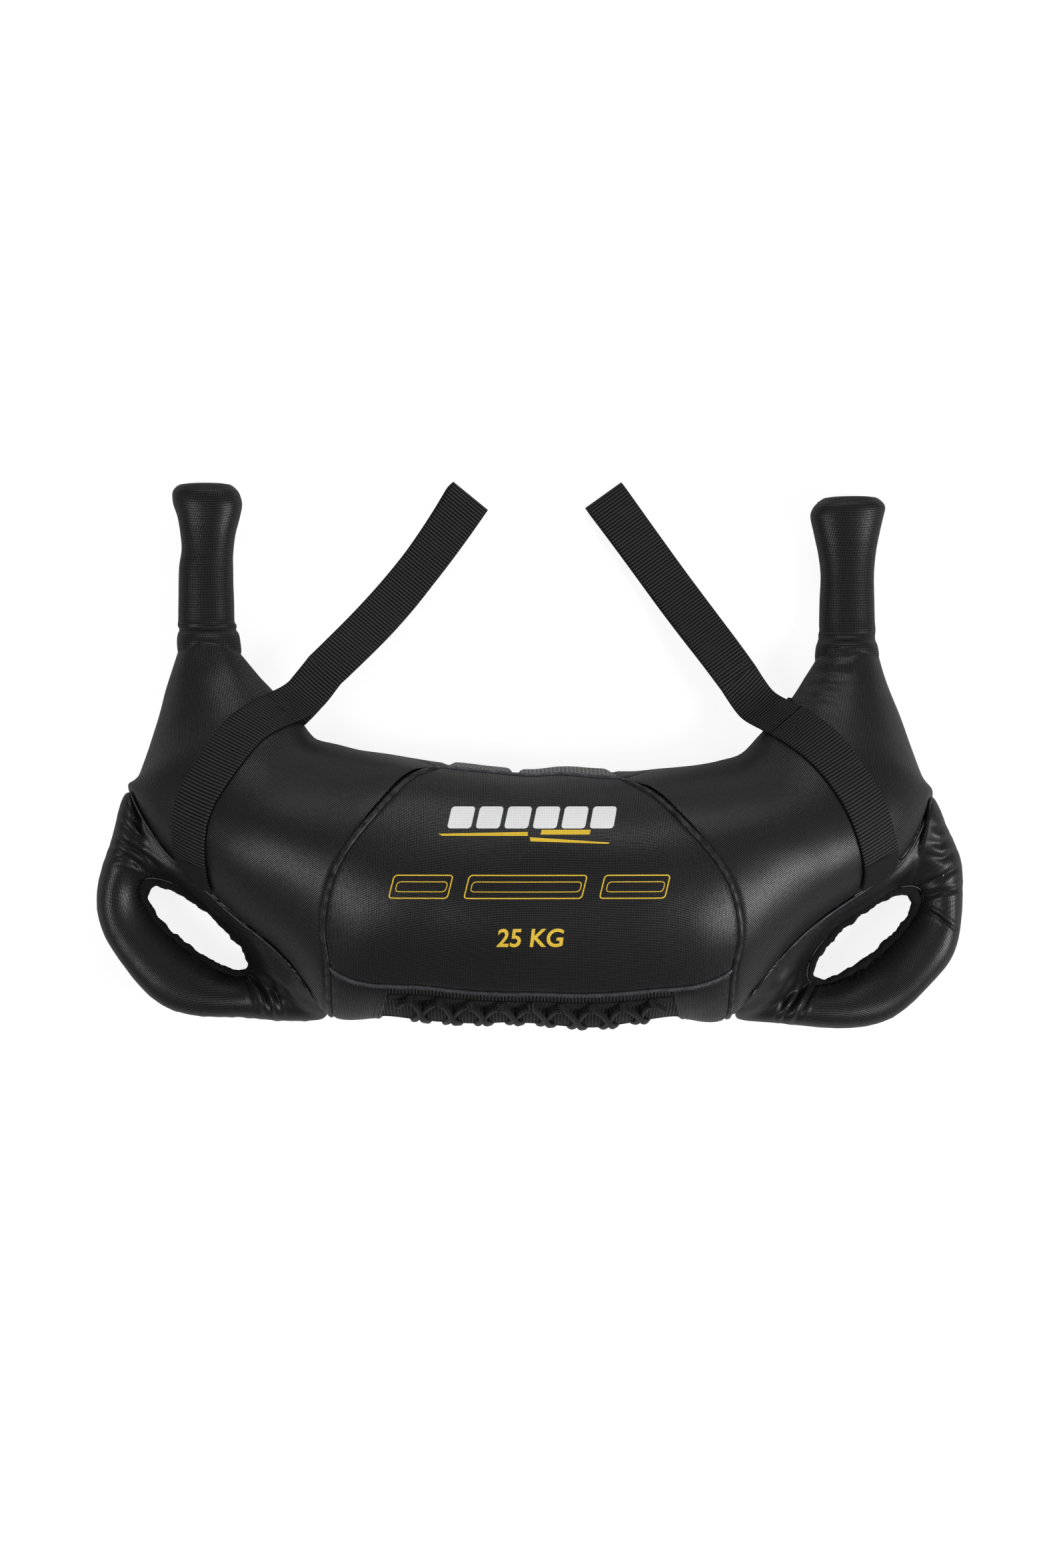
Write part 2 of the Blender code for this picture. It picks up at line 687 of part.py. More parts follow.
def hole_binding(home, side):
    """The knitted edge of a hand hole."""
    rings = []
    for step in range(RING_STATIONS):
        angle = 360.0 * step / RING_STATIONS
        near = hole_point(side, angle, 0.0)
        far = hole_point(side, angle, 2 * BINDING_HALF_WIDTH)
        ring = []
        for k in range(BINDING_SIDES):
            turn = 2 * math.pi * k / BINDING_SIDES
            height = Vector((0.0, 0.0, BINDING_HALF_HEIGHT * math.sin(turn)))
            ring.append((near + far) / 2 + (far - near) / 2 * math.cos(turn) + height)
        rings.append(ring)
    loft_object(home, f"{side}_hole_binding", "binding", rings, closed=True)


def tube(home, name, finish_name, points, radius):
    """A round cord through points."""
    curve = bpy.data.curves.new(name, "CURVE")
    curve.dimensions = "3D"
    curve.bevel_depth = radius
    curve.bevel_resolution = 2
    curve.use_fill_caps = True
    spline = curve.splines.new("POLY")
    spline.points.add(len(points) - 1)
    for spot, point in zip(spline.points, points):
        spot.co = (*point, 1.0)
    made = bpy.data.objects.new(name, curve)
    curve.materials.append(finish(finish_name))
    home.objects.link(made)
    return made


def corner_piping(home, side):
    """Piping of the seam between the bag and a corner handle."""
    sign = -1.0 if side == "left" else 1.0
    reach = PIPING_LAST_STATION - PIPING_FIRST_STATION
    points = []
    for step in range(PIPING_STEPS + 1):
        station = sign * (PIPING_FIRST_STATION + reach * step / PIPING_STEPS)
        points.append(skin(station, PIPING_GIRTH, PIPING_RADIUS + CLEARANCE))
    tube(home, f"{side}_corner_piping", "leatherette", points, PIPING_RADIUS)


def neck_middle(side):
    """Middle of the neck's end."""
    sign = -1.0 if side == "left" else 1.0
    return (skin(sign * LAST_STATION, 0.0) + skin(sign * LAST_STATION, SIDE_SEAM)) / 2


def pivot(side):
    """Centre of the ball at the foot of a horn."""
    reach = BALL_RADIUS + CLEARANCE + COLLAR_WALL
    middle = neck_middle(side)
    return Vector((middle.x, middle.y + reach + CLEARANCE, reach + CLEARANCE))


def add_empty(home, name, spot, parent=None):
    made = bpy.data.objects.new(name, None)
    made.location = spot if parent is None else spot - parent.location
    made.parent = parent
    home.objects.link(made)
    bpy.context.view_layer.update()
    return made


def horn_ring(centre, distance, half_width, half_thickness, inset=0.0):
    """A ring of the horn, which lies on the floor where it is thick."""
    height = max(centre.z, half_thickness + CLEARANCE)
    ring = []
    for k in range(HORN_SIDES):
        turn = 2 * math.pi * k / HORN_SIDES
        ring.append(Vector((centre.x + (half_width - inset) * math.cos(turn),
                            centre.y + distance,
                            height + (half_thickness - inset) * math.sin(turn))))
    return ring


def horn_halves(share):
    """Half width and half thickness of a horn at a share of its length."""
    row = 0
    while row < len(HORN_PROFILE_SHARES) - 2 and share > HORN_PROFILE_SHARES[row + 1][0]:
        row += 1
    (from_share, from_flare), (to_share, to_flare) = HORN_PROFILE_SHARES[row:row + 2]
    way = (share - from_share) / (to_share - from_share)
    flare = from_flare + (to_flare - from_flare) * way
    return (
        (GRIP_WIDTH + (FLARE_WIDTH - GRIP_WIDTH) * flare) / 2,
        (GRIP_THICKNESS + (FLARE_THICKNESS - GRIP_THICKNESS) * flare) / 2,
    )


def horn_rings(centre, length, inset, last_share):
    radius = BALL_RADIUS - inset
    rings = []
    for latitude in BALL_LATITUDES:
        turn = math.radians(latitude)
        ring_radius = radius * math.cos(turn)
        rings.append(horn_ring(centre, radius * math.sin(turn), ring_radius, ring_radius))
    shares = [share for share, _ in HORN_PROFILE_SHARES if share < last_share]
    for share in shares + [last_share]:
        wide, thick = horn_halves(share)
        rings.append(horn_ring(centre, length * share, wide, thick, inset))
    return rings


def neck_closure(home, side):
    """The disc that closes the neck, so that the filling stays in the bag."""
    sign = -1.0 if side == "left" else 1.0
    rings = []
    for depth in (0.0, NECK_CLOSURE_WALL):
        ring = []
        for k in range(HORN_SIDES):
            spot = skin(sign * LAST_STATION, 360.0 * k / HORN_SIDES,
                        -NECK_CLOSURE_INSET, NECK_CLOSURE_INSET)
            ring.append(Vector((spot.x, neck_middle(side).y - depth, spot.z)))
        rings.append(ring)
    loft_object(home, f"{side}_neck_closure", "lining", rings)


def horn_collar(home, side, centre, joint):
    """The drawn-in neck of the horn's cover, a cup round the ball of the grip."""
    cup_radius = BALL_RADIUS + CLEARANCE
    rings = []
    for latitude in CUP_LATITUDES:
        turn = math.radians(latitude)
        radius = cup_radius * math.cos(turn)
        rings.append(horn_ring(centre, cup_radius * math.sin(turn), radius, radius))
    collar = loft_object(home, f"{side}_horn_collar", "leatherette", rings,
                         parent=joint, cap_last=False)
    add_wall(collar, COLLAR_WALL, 1.0)


def horn_grip(home, side, centre, joint):
    """The grip: an open cover over a core, closed by an end cap."""
    length = HORN_LENGTHS[side]
    inset = HORN_WALL + CORE_CLEARANCE
    cover = loft_object(home, f"{side}_horn_cover", "leatherette",
                        horn_rings(centre, length, 0.0, 1.0), parent=joint, cap_last=False)
    add_wall(cover, HORN_WALL)
    cap_share = 1.0 - CAP_WALL / length
    core_share = cap_share - CORE_CLEARANCE / length
    loft_object(home, f"{side}_horn_core", "wadding",
                horn_rings(centre, length, inset, core_share), parent=joint)
    cap = []
    for share in (cap_share, 1.0):
        wide, thick = horn_halves(share)
        cap.append(horn_ring(centre, length * share, wide, thick, inset))
    loft_object(home, f"{side}_horn_cap", "leatherette", cap, parent=joint)


def loop_frame(side):
    """Start of the free strap, its heading and the direction across it."""
    start = Vector((*outline_point(LOOP_START_SHARES[side]), JUNCTION_TOP))
    turn = math.radians(LOOP_HEADING[side])
    heading = Vector((math.cos(turn), math.sin(turn), 0.0))
    across = Vector((0.0, 0.0, 1.0)).cross(heading)
    return start, heading, across


def across_row(centre, across, columns=2):
    return [centre + across * WEBBING_WIDTH * (column / columns - 0.5)
            for column in range(columns + 1)]


def leg_path(places):
    """The way of a sewn leg over the skin, by its share."""
    return lambda share: smooth_between(places, share * (len(places) - 1))


def strap_legs(home, side):
    """Sewn legs of a webbing strap, on the front and over the crook to the rear."""
    start, heading, across = loop_frame(side)
    end = start - heading * CLEARANCE
    root = start - heading * JUNCTION_LENGTH

    below = Vector((0.0, 0.0, -WEBBING_WALL))
    rows = band_rows(leg_path(FRONT_STRAP_PLACES[side]), WEBBING_WIDTH, STRAP_LAY_GAP, 20, 2)
    rows.append(across_row(root + below, across))
    rows.append(across_row(end + below, across))
    strip_object(home, f"{side}_strap_front_leg", "webbing", rows, WEBBING_WALL)

    below = Vector((0.0, 0.0, -WEBBING_WALL - PLY_GAP))
    rows = [across_row(end + below, across), across_row(root + below, across)]
    rows += band_rows(leg_path(REAR_STRAP_PLACES[side]), WEBBING_WIDTH, STRAP_LAY_GAP, 5, 2)
    strip_object(home, f"{side}_strap_rear_leg", "webbing", rows, WEBBING_WALL)


def strap_loop(home, side):
    """The free webbing loop, hung on the fold line above its two legs."""
    start, heading, across = loop_frame(side)
    joint = add_empty(home, f"{side}_strap_swing_axis", start)
    last = len(LOOP_PROFILE_SHARES) - 1
    rows = []
    for step in range(LOOP_STEPS + 1):
        share, high = smooth_between(LOOP_PROFILE_SHARES, last * step / LOOP_STEPS)
        spot = start + heading * (LOOP_LENGTHS[side] * share)
        spot.z = JUNCTION_TOP * high
        rows.append(across_row(spot, across, 1))
    strip_object(home, f"{side}_strap_loop", "webbing", rows, WEBBING_WALL,
                 parent=joint, offset=0.0)


def lace_station(place):
    """Station at a number of lace pitches from the left end."""
    return LACE_FIRST_STATION * (2.0 * place / LACE_PITCHES - 1.0)


def lacing(home):
    """The lace, and the loop tapes on both flaps that hold its turns."""
    route = []
    for pitch in range(LACE_PITCHES):
        route += [(pitch + share, girth) for share, girth in LACE_ROUTE]
    route += [(LACE_PITCHES + share, girth) for share, girth in LACE_ROUTE[:LACE_END_ROWS]]
    points = [skin(lace_station(place), girth, LACE_RADIUS + LACE_LAY_GAP)
              for place, girth in route]
    tube(home, "lace", "cord", points, LACE_RADIUS)

    front_turns = [float(pitch) for pitch in range(LACE_PITCHES + 1)]
    rear_turns = [pitch + 0.5 for pitch in range(LACE_PITCHES)]
    loop_tape(home, "front_loop_tape", front_turns, LACE_ROUTE[0][1], 1.0)
    loop_tape(home, "rear_loop_tape", rear_turns, 360.0 - LACE_ROUTE[0][1], -1.0)


def loop_tape(home, name, turns, girth, direction):
    """A tape sewn along a flap, with a loop over each turn of the lace."""
    edges = [turns[0] - TAPE_END_SHARE]
    for turn in turns:
        edges += [turn - LOOP_HALF_SHARE, turn + LOOP_HALF_SHARE]
    edges.append(turns[-1] + TAPE_END_SHARE)
    bm = bmesh.new()
    grid = []
    for degrees, lift in LOOP_TAPE_ROWS:
        row = []
        for edge in edges:
            spot = skin(lace_station(edge), girth + direction * degrees,
                        LAY_GAP + lift * 2 * LACE_RADIUS)
            row.append(bm.verts.new(spot))
        grid.append(row)
    for r, (one, two) in enumerate(zip(grid, grid[1:])):
        for column in range(len(edges) - 1):
            if r == 0 or column % 2 == 1:
                bm.faces.new((one[column], two[column], two[column + 1], one[column + 1]))
    loose = [vert for vert in bm.verts if not vert.link_faces]
    bmesh.ops.delete(bm, geom=loose, context="VERTS")
    if direction < 0.0:
        bmesh.ops.reverse_faces(bm, faces=bm.faces)
    mesh = bpy.data.meshes.new(name)
    bm.to_mesh(mesh)
    bm.free()
    item = add_object(name, mesh, "webbing", home)
    add_wall(item, LOOP_TAPE_WALL, 1.0)


def main():
    clear_scene()
    home = make_collection()
    panels(home)
    placket(home)
    filling(home)
    welts(home)
    lacing(home)
    for side in ("left", "right"):
        corner_handle(home, side)
        hole_binding(home, side)
        corner_piping(home, side)
        neck_closure(home, side)
        centre = pivot(side)
        fold_joint = add_empty(home, f"{side}_horn_fold_axis", centre)
        sway_joint = add_empty(home, f"{side}_horn_sway_axis", centre, fold_joint)
        horn_collar(home, side, centre, fold_joint)
        horn_grip(home, side, centre, sway_joint)
        strap_legs(home, side)
        strap_loop(home, side)


main()
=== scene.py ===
"""Bulgarian bag lying on its back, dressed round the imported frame.

Metres, +Z up.  A place on the bag's skin is named by a station along the crescent and
an angle round its girth: 0 at the crook, 90 on the front, 180 on the outer edge, 270 on
the rear.  Lists of places are numpy arrays, so that a whole piece is worked out at once.
"""

import math

import bmesh
import bpy
import numpy as np
from mathutils import Matrix, Vector
from mathutils.bvhtree import BVHTree


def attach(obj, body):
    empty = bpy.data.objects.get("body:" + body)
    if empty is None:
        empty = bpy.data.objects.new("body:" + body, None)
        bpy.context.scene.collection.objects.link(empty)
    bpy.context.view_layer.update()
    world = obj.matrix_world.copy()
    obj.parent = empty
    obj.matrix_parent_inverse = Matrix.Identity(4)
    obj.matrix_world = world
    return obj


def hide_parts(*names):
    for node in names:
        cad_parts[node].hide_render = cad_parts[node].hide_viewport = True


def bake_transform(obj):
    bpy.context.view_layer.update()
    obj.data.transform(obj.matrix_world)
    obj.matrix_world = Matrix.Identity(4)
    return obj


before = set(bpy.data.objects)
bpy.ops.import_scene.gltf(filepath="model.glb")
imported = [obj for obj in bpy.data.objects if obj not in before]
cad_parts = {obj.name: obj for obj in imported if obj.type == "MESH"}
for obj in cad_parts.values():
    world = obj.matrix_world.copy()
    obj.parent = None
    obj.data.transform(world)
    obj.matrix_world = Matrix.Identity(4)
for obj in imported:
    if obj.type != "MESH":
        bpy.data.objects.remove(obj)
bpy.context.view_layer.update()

# Camera, straight above the bag
CAMERA_PLACE = (-0.007, -0.0256, 2.4)
LENS = 59.9
SENSOR = 36.0
PHOTO_WIDTH = 1568
PHOTO_HEIGHT = 2352
FLOOR_PIXEL = 0.000613

# Studio: lamps by place, aim, size in metres and power in watts
LAMPS = {
    "left_lamp": ((-1.80, -0.45, 2.20), (-0.15, -0.05, 0.1), (1.0, 1.4), 30.0),
    "right_lamp": ((2.20, -0.72, 1.85), (0.15, -0.05, 0.1), (1.0, 1.4), 68.0),
    "crook_lamp": ((0.0, 2.2, 1.3), (0.0, 0.0, 0.1), (2.2, 1.0), 20.0),
}
SURROUND_STRENGTH = 0.16
FLOOR_HALF_WIDTH = 6.0

# Bag
SIDES = (("left", -1.0), ("right", 1.0))
BAG_HALF_WIDTH = 0.3645
BAG_HEIGHT = 0.3346
BAG_THICKNESS = 0.185
BOTTOM_Y = -0.2404
SOFT_FLOOR = 0.0015
OUTER_SHARES = {
    "left": [
        (0.879, 0.995), (0.9075, 0.901), (0.9290, 0.805), (0.967, 0.669),
        (0.993, 0.623), (0.917, 0.468), (0.834, 0.390), (0.7207, 0.279),
        (0.590, 0.159), (0.4848, 0.0285), (0.3413, 0.0188), (0.1706, 0.005),
    ],
    "right": [
        (0.8725, 0.984), (0.894, 0.900), (0.9246, 0.803), (0.965, 0.669),
        (0.993, 0.605), (0.937, 0.455), (0.8406, 0.369), (0.7353, 0.284),
        (0.6013, 0.1626), (0.480, 0.0215), (0.343, 0.0152), (0.172, -0.0066),
    ],
}
INNER_SHARES = {
    "left": [
        (0.7227, 0.995), (0.675, 0.936), (0.619, 0.875), (0.569, 0.813),
        (0.549, 0.782), (0.529, 0.760), (0.485, 0.747), (0.4134, 0.7275),
        (0.334, 0.718), (0.2538, 0.709), (0.171, 0.697), (0.084, 0.682),
    ],
    "right": [
        (0.7095, 0.984), (0.684, 0.935), (0.6505, 0.8686), (0.609, 0.815),
        (0.568, 0.7705), (0.5215, 0.7238), (0.4665, 0.706), (0.406, 0.692),
        (0.329, 0.679), (0.255, 0.669), (0.173, 0.675), (0.0825, 0.6865),
    ],
}
OUTER_MIDDLE_SHARES = (0.0, 0.0)
INNER_MIDDLE_SHARES = (0.0, 0.676)
THICKNESS_SHARES = [
    0.29, 0.34, 0.42, 0.52, 0.58, 0.66, 0.74, 0.82, 0.89, 0.94, 0.97, 0.99, 1.0,
]
EQUATOR_SHARE = 0.45
REAR_FILL_SHARE = 1.25
REAR_CURVE_SHARE = 0.8
LAST_STATION = 12.0
SLOPE_STEP = 0.01
EVEN_REACH = 0.8

# Seams of the bag
TOP_SEAM = 15.0
CROOK_SEAM = 2.0
BOTTOM_SEAM = 135.0
REAR_BOTTOM_SEAM = 225.0
WELT_LAST_GIRTH = 186.0
CORNER_SEAM = 166.0
CORNER_SEAM_REAR = 198.0
SLIT_FRONT = 170.0
SLIT_REAR = 190.0
PLACKET_END_STATION = 2.15
CENTRE_SEAM_STATIONS = [
    2.30, 2.50, 3.10, 3.45, 3.68, 3.86, 3.93, 3.85, 3.66, 3.33, 3.15, 3.05, 3.00,
]
CENTRE_SEAM_PITCH = 15.0
CROWDING = 0.55
WELD_DISTANCE = 0.00002
FABRIC_WALL = 0.0012
NECK_ARCH = 0.0095

# Welts and stitches
WELT_WALL = 0.0007
CURVED_WELT_WIDTH = 0.0062
TOP_WELT_WIDTH = 0.0046
BOTTOM_WELT_WIDTH = 0.0036
WELT_STITCHES = (-0.125, 0.125)
PLACKET_STITCHES = (0.035, 0.115)
BOTTOM_STITCHES = (-0.75, 0.75)
STITCH_LIFT = 0.0002
STITCH_SAMPLES = 60
FEWEST_SAMPLES = 5

# Mesh pad: its two lobes, the channel between them and its rolls
PAD_WALL = 0.005
LOBE_RISE = 0.0020
LOBE_END = (0.92, 1.0)
CHANNEL_DEPTH = 0.0058
CHANNEL_PLACE = -0.19
CHANNEL_WIDTH = 0.055
PAD_TOP = (362.0, 375.0)
PAD_BOTTOM = (225.0, 240.0)
PAD_ROLLS = 7.0
ROLL_DEPTH = 0.0006

# Placket
FLAP_WALL = 0.0016
CHEEK_LAP = 0.0008
HEM_ROLL = 0.0011
TONGUE_LAP = 14.0
TONGUE_SINK = 0.0026
PLACKET_DENT = 0.0026

# Waves of stuffed cloth
RIPPLE_SEED = 11
RIPPLE_SHARE = 0.6

# Puckers along the curved seams and the level ones: metres, and radians a metre for drift
PUCKER_LENGTH = 0.011
PUCKER_HEIGHT = 0.00028
PUCKER_REACH = 0.007
PUCKER_DRIFT = 900.0
LEVEL_PUCKER_LENGTH = 0.012
LEVEL_PUCKER_HEIGHT = 0.00022
LEVEL_PUCKER_REACH = 0.006
LEVEL_GROOVE_HALF_WIDTH = 0.0038
LEVEL_SEAM_DEPTHS = ((TOP_SEAM, 0.0014), (BOTTOM_SEAM, 0.0013), (REAR_BOTTOM_SEAM, 0.0012))

# Grooves along the other seams: half width and depth in metres
CURVED_GROOVE = (0.0042, 0.0016)
CROOK_GROOVE = (0.0030, 0.0010)
CORNER_GROOVE = (0.0075, 0.0028)
OUTER_EDGE_GROOVE = (0.0030, 0.0009)
OUTER_EDGE_GIRTH = 180.0

# From where to where shapes of the skin come or go, in stations, degrees or shares
FRONT_FADE = (0.10, 0.75)
CROOK_SLIP = (0.0, 1.2)
SEAM_FADE = (-0.05, 0.10)
CORNER_START = (3.2, 3.6)
CORNER_END = (7.9, 8.3)
PLACKET_START = (136.0, 152.0)
PLACKET_STOP = (206.0, 222.0)
PLACKET_END = (PLACKET_END_STATION - 0.04, PLACKET_END_STATION + 0.03)
NECK_FADE = (10.8, 12.0)
NECK_CREASE_STATION = 9.0

# Creases, as lines in the photograph's pixels, with their depth and half width in metres
CREASE_TIP = 0.08
CREASE_BANK_SHARE = 0.45
CREASE_BANK_PLACE = 2.2
NECK_CREASES = [
    ([(1221, 987), (1241, 995), (1272, 995), (1303, 989)], 0.0009, 0.0022),
    ([(1215, 1007), (1241, 1009), (1281, 1013)], 0.0008, 0.0024),
    ([(1203, 1029), (1237, 1027), (1272, 1033)], 0.0008, 0.0026),
    ([(1195, 1044), (1228, 1047), (1263, 1053)], 0.0007, 0.0026),
    ([(1190, 1058), (1215, 1056)], 0.0006, 0.0024),
    ([(275, 985), (300, 976), (330, 974), (358, 982)], 0.0006, 0.0022),
]
CORNER_CREASES = {
    "left": [
        ([(380, 1465), (397, 1489), (410, 1526)], 0.0026, 0.0019),
        ([(388, 1454), (409, 1476), (426, 1524)], 0.0020, 0.0020),
        ([(397, 1459), (419, 1479), (441, 1500)], 0.0011, 0.0026),
        ([(366, 1460), (380, 1492), (391, 1526)], 0.0013, 0.0020),
        ([(172, 1257), (206, 1276), (238, 1302)], 0.0019, 0.0024),
        ([(166, 1270), (200, 1289), (218, 1306)], 0.0017, 0.0022),
        ([(158, 1286), (184, 1288), (208, 1300)], 0.0016, 0.0022),
        ([(180, 1230), (201, 1254), (216, 1270)], 0.0015, 0.0024),
        ([(184, 1214), (200, 1232), (214, 1250)], 0.0008, 0.0024),
    ],
    "right": [
        ([(1211, 1473), (1195, 1500), (1173, 1533)], 0.0028, 0.0019),
        ([(1200, 1466), (1184, 1492), (1163, 1530)], 0.0017, 0.0018),
        ([(1225, 1478), (1209, 1506), (1190, 1537)], 0.0014, 0.0018),
        ([(1210, 1453), (1190, 1464), (1168, 1490)], 0.0010, 0.0026),
        ([(1380, 1330), (1410, 1318), (1442, 1300)], 0.0017, 0.0024),
        ([(1387, 1363), (1408, 1373), (1432, 1394)], 0.0016, 0.0015),
        ([(1390, 1345), (1415, 1338), (1446, 1332)], 0.0014, 0.0024),
        ([(1390, 1262), (1412, 1266), (1432, 1254)], 0.0014, 0.0030),
        ([(1394, 1285), (1416, 1288), (1440, 1274)], 0.0013, 0.0028),
        ([(1396, 1238), (1410, 1242), (1424, 1234)], 0.0009, 0.0028),
    ],
}
HORN_CREASES = {
    "left": [
        ([(269, 936), (300, 931), (330, 934), (350, 940)], 0.0014, 0.0020),
        ([(268, 946), (295, 942), (330, 943), (352, 950)], 0.0014, 0.0018),
        ([(270, 915), (296, 921), (322, 924)], 0.0007, 0.0022),
        ([(341, 935), (342, 880), (340, 820), (348, 776), (352, 740)], 0.0012, 0.0012),
    ],
    "right": [
        ([(1262, 929), (1278, 937), (1294, 944)], 0.0014, 0.0020),
        ([(1231, 952), (1262, 949), (1290, 952), (1312, 958)], 0.0014, 0.0018),
        ([(1233, 963), (1265, 960), (1310, 966)], 0.0012, 0.0018),
        ([(1311, 930), (1290, 925), (1270, 928)], 0.0007, 0.0020),
    ],
}

# Corner handles
HOLE_LENGTH = 0.114
HOLE_WIDTH = 0.034
HOLE_LOW_HEIGHT = 0.035
HOLE_HIGH_HEIGHT = 0.052
HOLE_TILT = 39.0
HOLE_CENTRE_SHARES = {"left": (-0.8285, 0.2534), "right": (0.8285, 0.2325)}
BINDING_HALF_WIDTH = 0.0046
BINDING_HALF_HEIGHT = 0.0055
CORNER_HALF_THICKNESS = 0.0225
CORNER_HEIGHT = 0.040
LIP_TAPER_SHARE = 0.35
CLEFT_FILL_SHARE = 0.80
PUFF_POWER = 0.86
RIM_TUCK = 0.0024
RIM_LINE_RADIUS = 0.0006
CORNER_RINGS = 480
CORNER_SIDES = 104
FIRST_ANGLE = 10.0
LAST_ANGLE = 350.0
EDGE_WAVE_HEIGHT = 0.0007
RIM_WAVE_HEIGHT = 0.0004
RIM_WAVE_REACH = 26.0
BINDING_RINGS = 700
BINDING_SIDES = 26
BINDING_PULL = 0.0042
CORNER_SHARES = {
    "left": [
        (0.996, 0.634), (1.0263, 0.5254), (1.0540, 0.426), (1.0690, 0.3407),
        (1.0655, 0.2663), (1.0400, 0.1936), (0.9830, 0.1107), (0.9040, 0.0377),
        (0.8134, 0.0104), (0.6848, 0.0053), (0.554, 0.0094), (0.500, 0.0203),
    ],
    "right": [
        (0.988, 0.620), (1.0295, 0.5251), (1.0695, 0.4421), (1.0755, 0.3537),
        (1.0640, 0.260), (1.0400, 0.1772), (0.9870, 0.0970), (0.9210, 0.0200),
        (0.8330, -0.0110), (0.6928, -0.0075), (0.568, 0.0000), (0.5007, 0.0150),
    ],
}
CORNER_HOLE_ANGLES = [
    166.0, 174.0, 182.0, 192.0, 204.0, 222.0, 250.0, 280.0, 305.0, 330.0, 346.0, 356.0,
]
CORNER_THICKNESS_SHARES = [
    1.05, 1.08, 1.0, 0.95, 0.92, 0.92, 0.95, 0.97, 1.0, 1.08, 1.1, 0.95,
]
CORNER_HEIGHT_SHARES = [
    1.20, 1.10, 1.02, 1.0, 1.0, 1.0, 1.0, 1.0, 1.02, 1.06, 1.15, 1.30,
]
CORNER_SEAM_ROWS = [
    (3.45, 370.0, 0.80), (4.10, 392.0, 0.55), (4.80, 422.0, 0.40), (5.50, 448.0, 0.36),
    (6.20, 474.0, 0.38), (6.90, 500.0, 0.46), (7.50, 515.0, 0.56),
]
PIPING_RADIUS = 0.0010
PIPING_LIFT = 0.0022
PIPING_STATIONS = (3.45, 8.0)
CORD_TIP_SHARE = 0.7

# Horns: photo rows (height in the picture, left and right edge in pixels, half thickness)
HORN_ROWS = {
    "left": [
        (990, 272, 358, 0.0240), (977, 269, 361, 0.0255), (962, 268, 359.5, 0.0255),
        (952, 269, 357.5, 0.0240), (945, 271, 353, 0.0215), (938, 268.5, 353, 0.0212),
        (930, 269, 350, 0.0208), (900, 269.5, 349.5, 0.0206), (853, 270, 348, 0.0204),
        (825, 273.5, 349, 0.0202), (800, 271.5, 352, 0.0206), (776, 267.5, 358, 0.0217),
        (757, 261.5, 361.5, 0.0226), (743, 260, 358.5, 0.0222), (736, 261.5, 354.5, 0.0210),
        (731, 266, 349, 0.0185),
    ],
    "right": [
        (995, 1226, 1314, 0.0240), (984, 1225, 1316, 0.0252), (970, 1226.5, 1314, 0.0250),
        (962, 1229.5, 1311.5, 0.0225), (955, 1230.5, 1311, 0.0214), (945, 1231.5, 1312, 0.0212),
        (930, 1231, 1311, 0.0208), (900, 1231, 1310.5, 0.0206), (862, 1232, 1310, 0.0204),
        (830, 1228.5, 1312.5, 0.0206), (800, 1222.5, 1318, 0.0214), (775, 1217.5, 1323.5, 0.0224),
        (763, 1221, 1326, 0.0224), (756, 1227, 1323.5, 0.0214), (751, 1233, 1318, 0.0195),
    ],
}
HORN_SPLIT_ROWS = {"left": 3.6, "right": 4.4}
HORN_REST_HEIGHT = 0.0216
HORN_FLOOR_GAP = 0.0006
HORN_SIDES = 64
HORN_SQUARENESS = 0.88
SLEEVE_RINGS = 30
COVER_RINGS = 154
CAP_RINGS = ((0.93, 0.0011), (0.75, 0.0018), (0.40, 0.0022), (0.0, 0.0023))

# Webbing
WEBBING_WIDTH = 0.038
WEBBING_WALL = 0.0018
STRAP_END_WALL = 0.0004
STRAP_END_ROWS = 1.25
PLY_GAP = 0.0004
STRAP_LAY_GAP = 0.0014
JUNCTION_LENGTH = 0.030
JUNCTION_TOP = 0.0440
LOOP_LENGTH = 0.2070
STRAP_COLUMNS = 15
MEASURED_COLUMN = 3
BAND_STEPS = 1500
LOOP_ROWS = 260
HINGE_OVERLAP = 0.0006
PATCH_OVERLAP = 0.0006
LOOP_HEADING = {"left": 50.8, "right": 125.6}
LOOP_BOW = {"left": -0.0062, "right": -0.0004}
LOOP_TWIST = {"left": 0.0035, "right": 0.0}
LOOP_SPREAD_SHARE = 0.07
LOOP_START_SHARES = {"left": (-0.5089, 0.9498), "right": (0.5158, 0.9289)}
FRONT_STRAP_PLACES = {
    "left": [
        (-5.82, 161.0), (-6.13, 148.0), (-6.58, 131.6), (-6.89, 122.1), (-7.16, 112.9),
        (-7.40, 104.3), (-7.62, 96.5), (-7.90, 88.6), (-8.35, 81.0), (-9.00, 72.5),
        (-9.30, 59.6), (-9.50, 42.0), (-9.58, 27.0),
    ],
    "right": [
        (6.10, 160.0), (6.43, 142.6), (6.79, 124.8), (7.12, 112.2), (7.46, 100.0),
        (7.79, 88.4), (8.23, 75.3), (8.62, 61.3), (8.88, 44.5), (9.05, 27.0),
    ],
}
REAR_STRAP_PLACES = {
    "left": [(-9.50, 6.0), (-9.55, -12.0), (-9.60, -36.0)],
    "right": [(9.18, 6.0), (9.25, -12.0), (9.32, -36.0)],
}
LOOP_PROFILE_SHARES = [
    (0.0, 0.980), (0.12, 0.920), (0.30, 0.680), (0.50, 0.450), (0.70, 0.360),
    (0.85, 0.310), (0.95, 0.265), (0.985, 0.215), (1.0, 0.140), (0.985, 0.060),
    (0.95, 0.030), (0.85, 0.026), (0.70, 0.026), (0.55, 0.030), (0.44, 0.080),
    (0.30, 0.300), (0.14, 0.700), (0.0, 0.930),
]

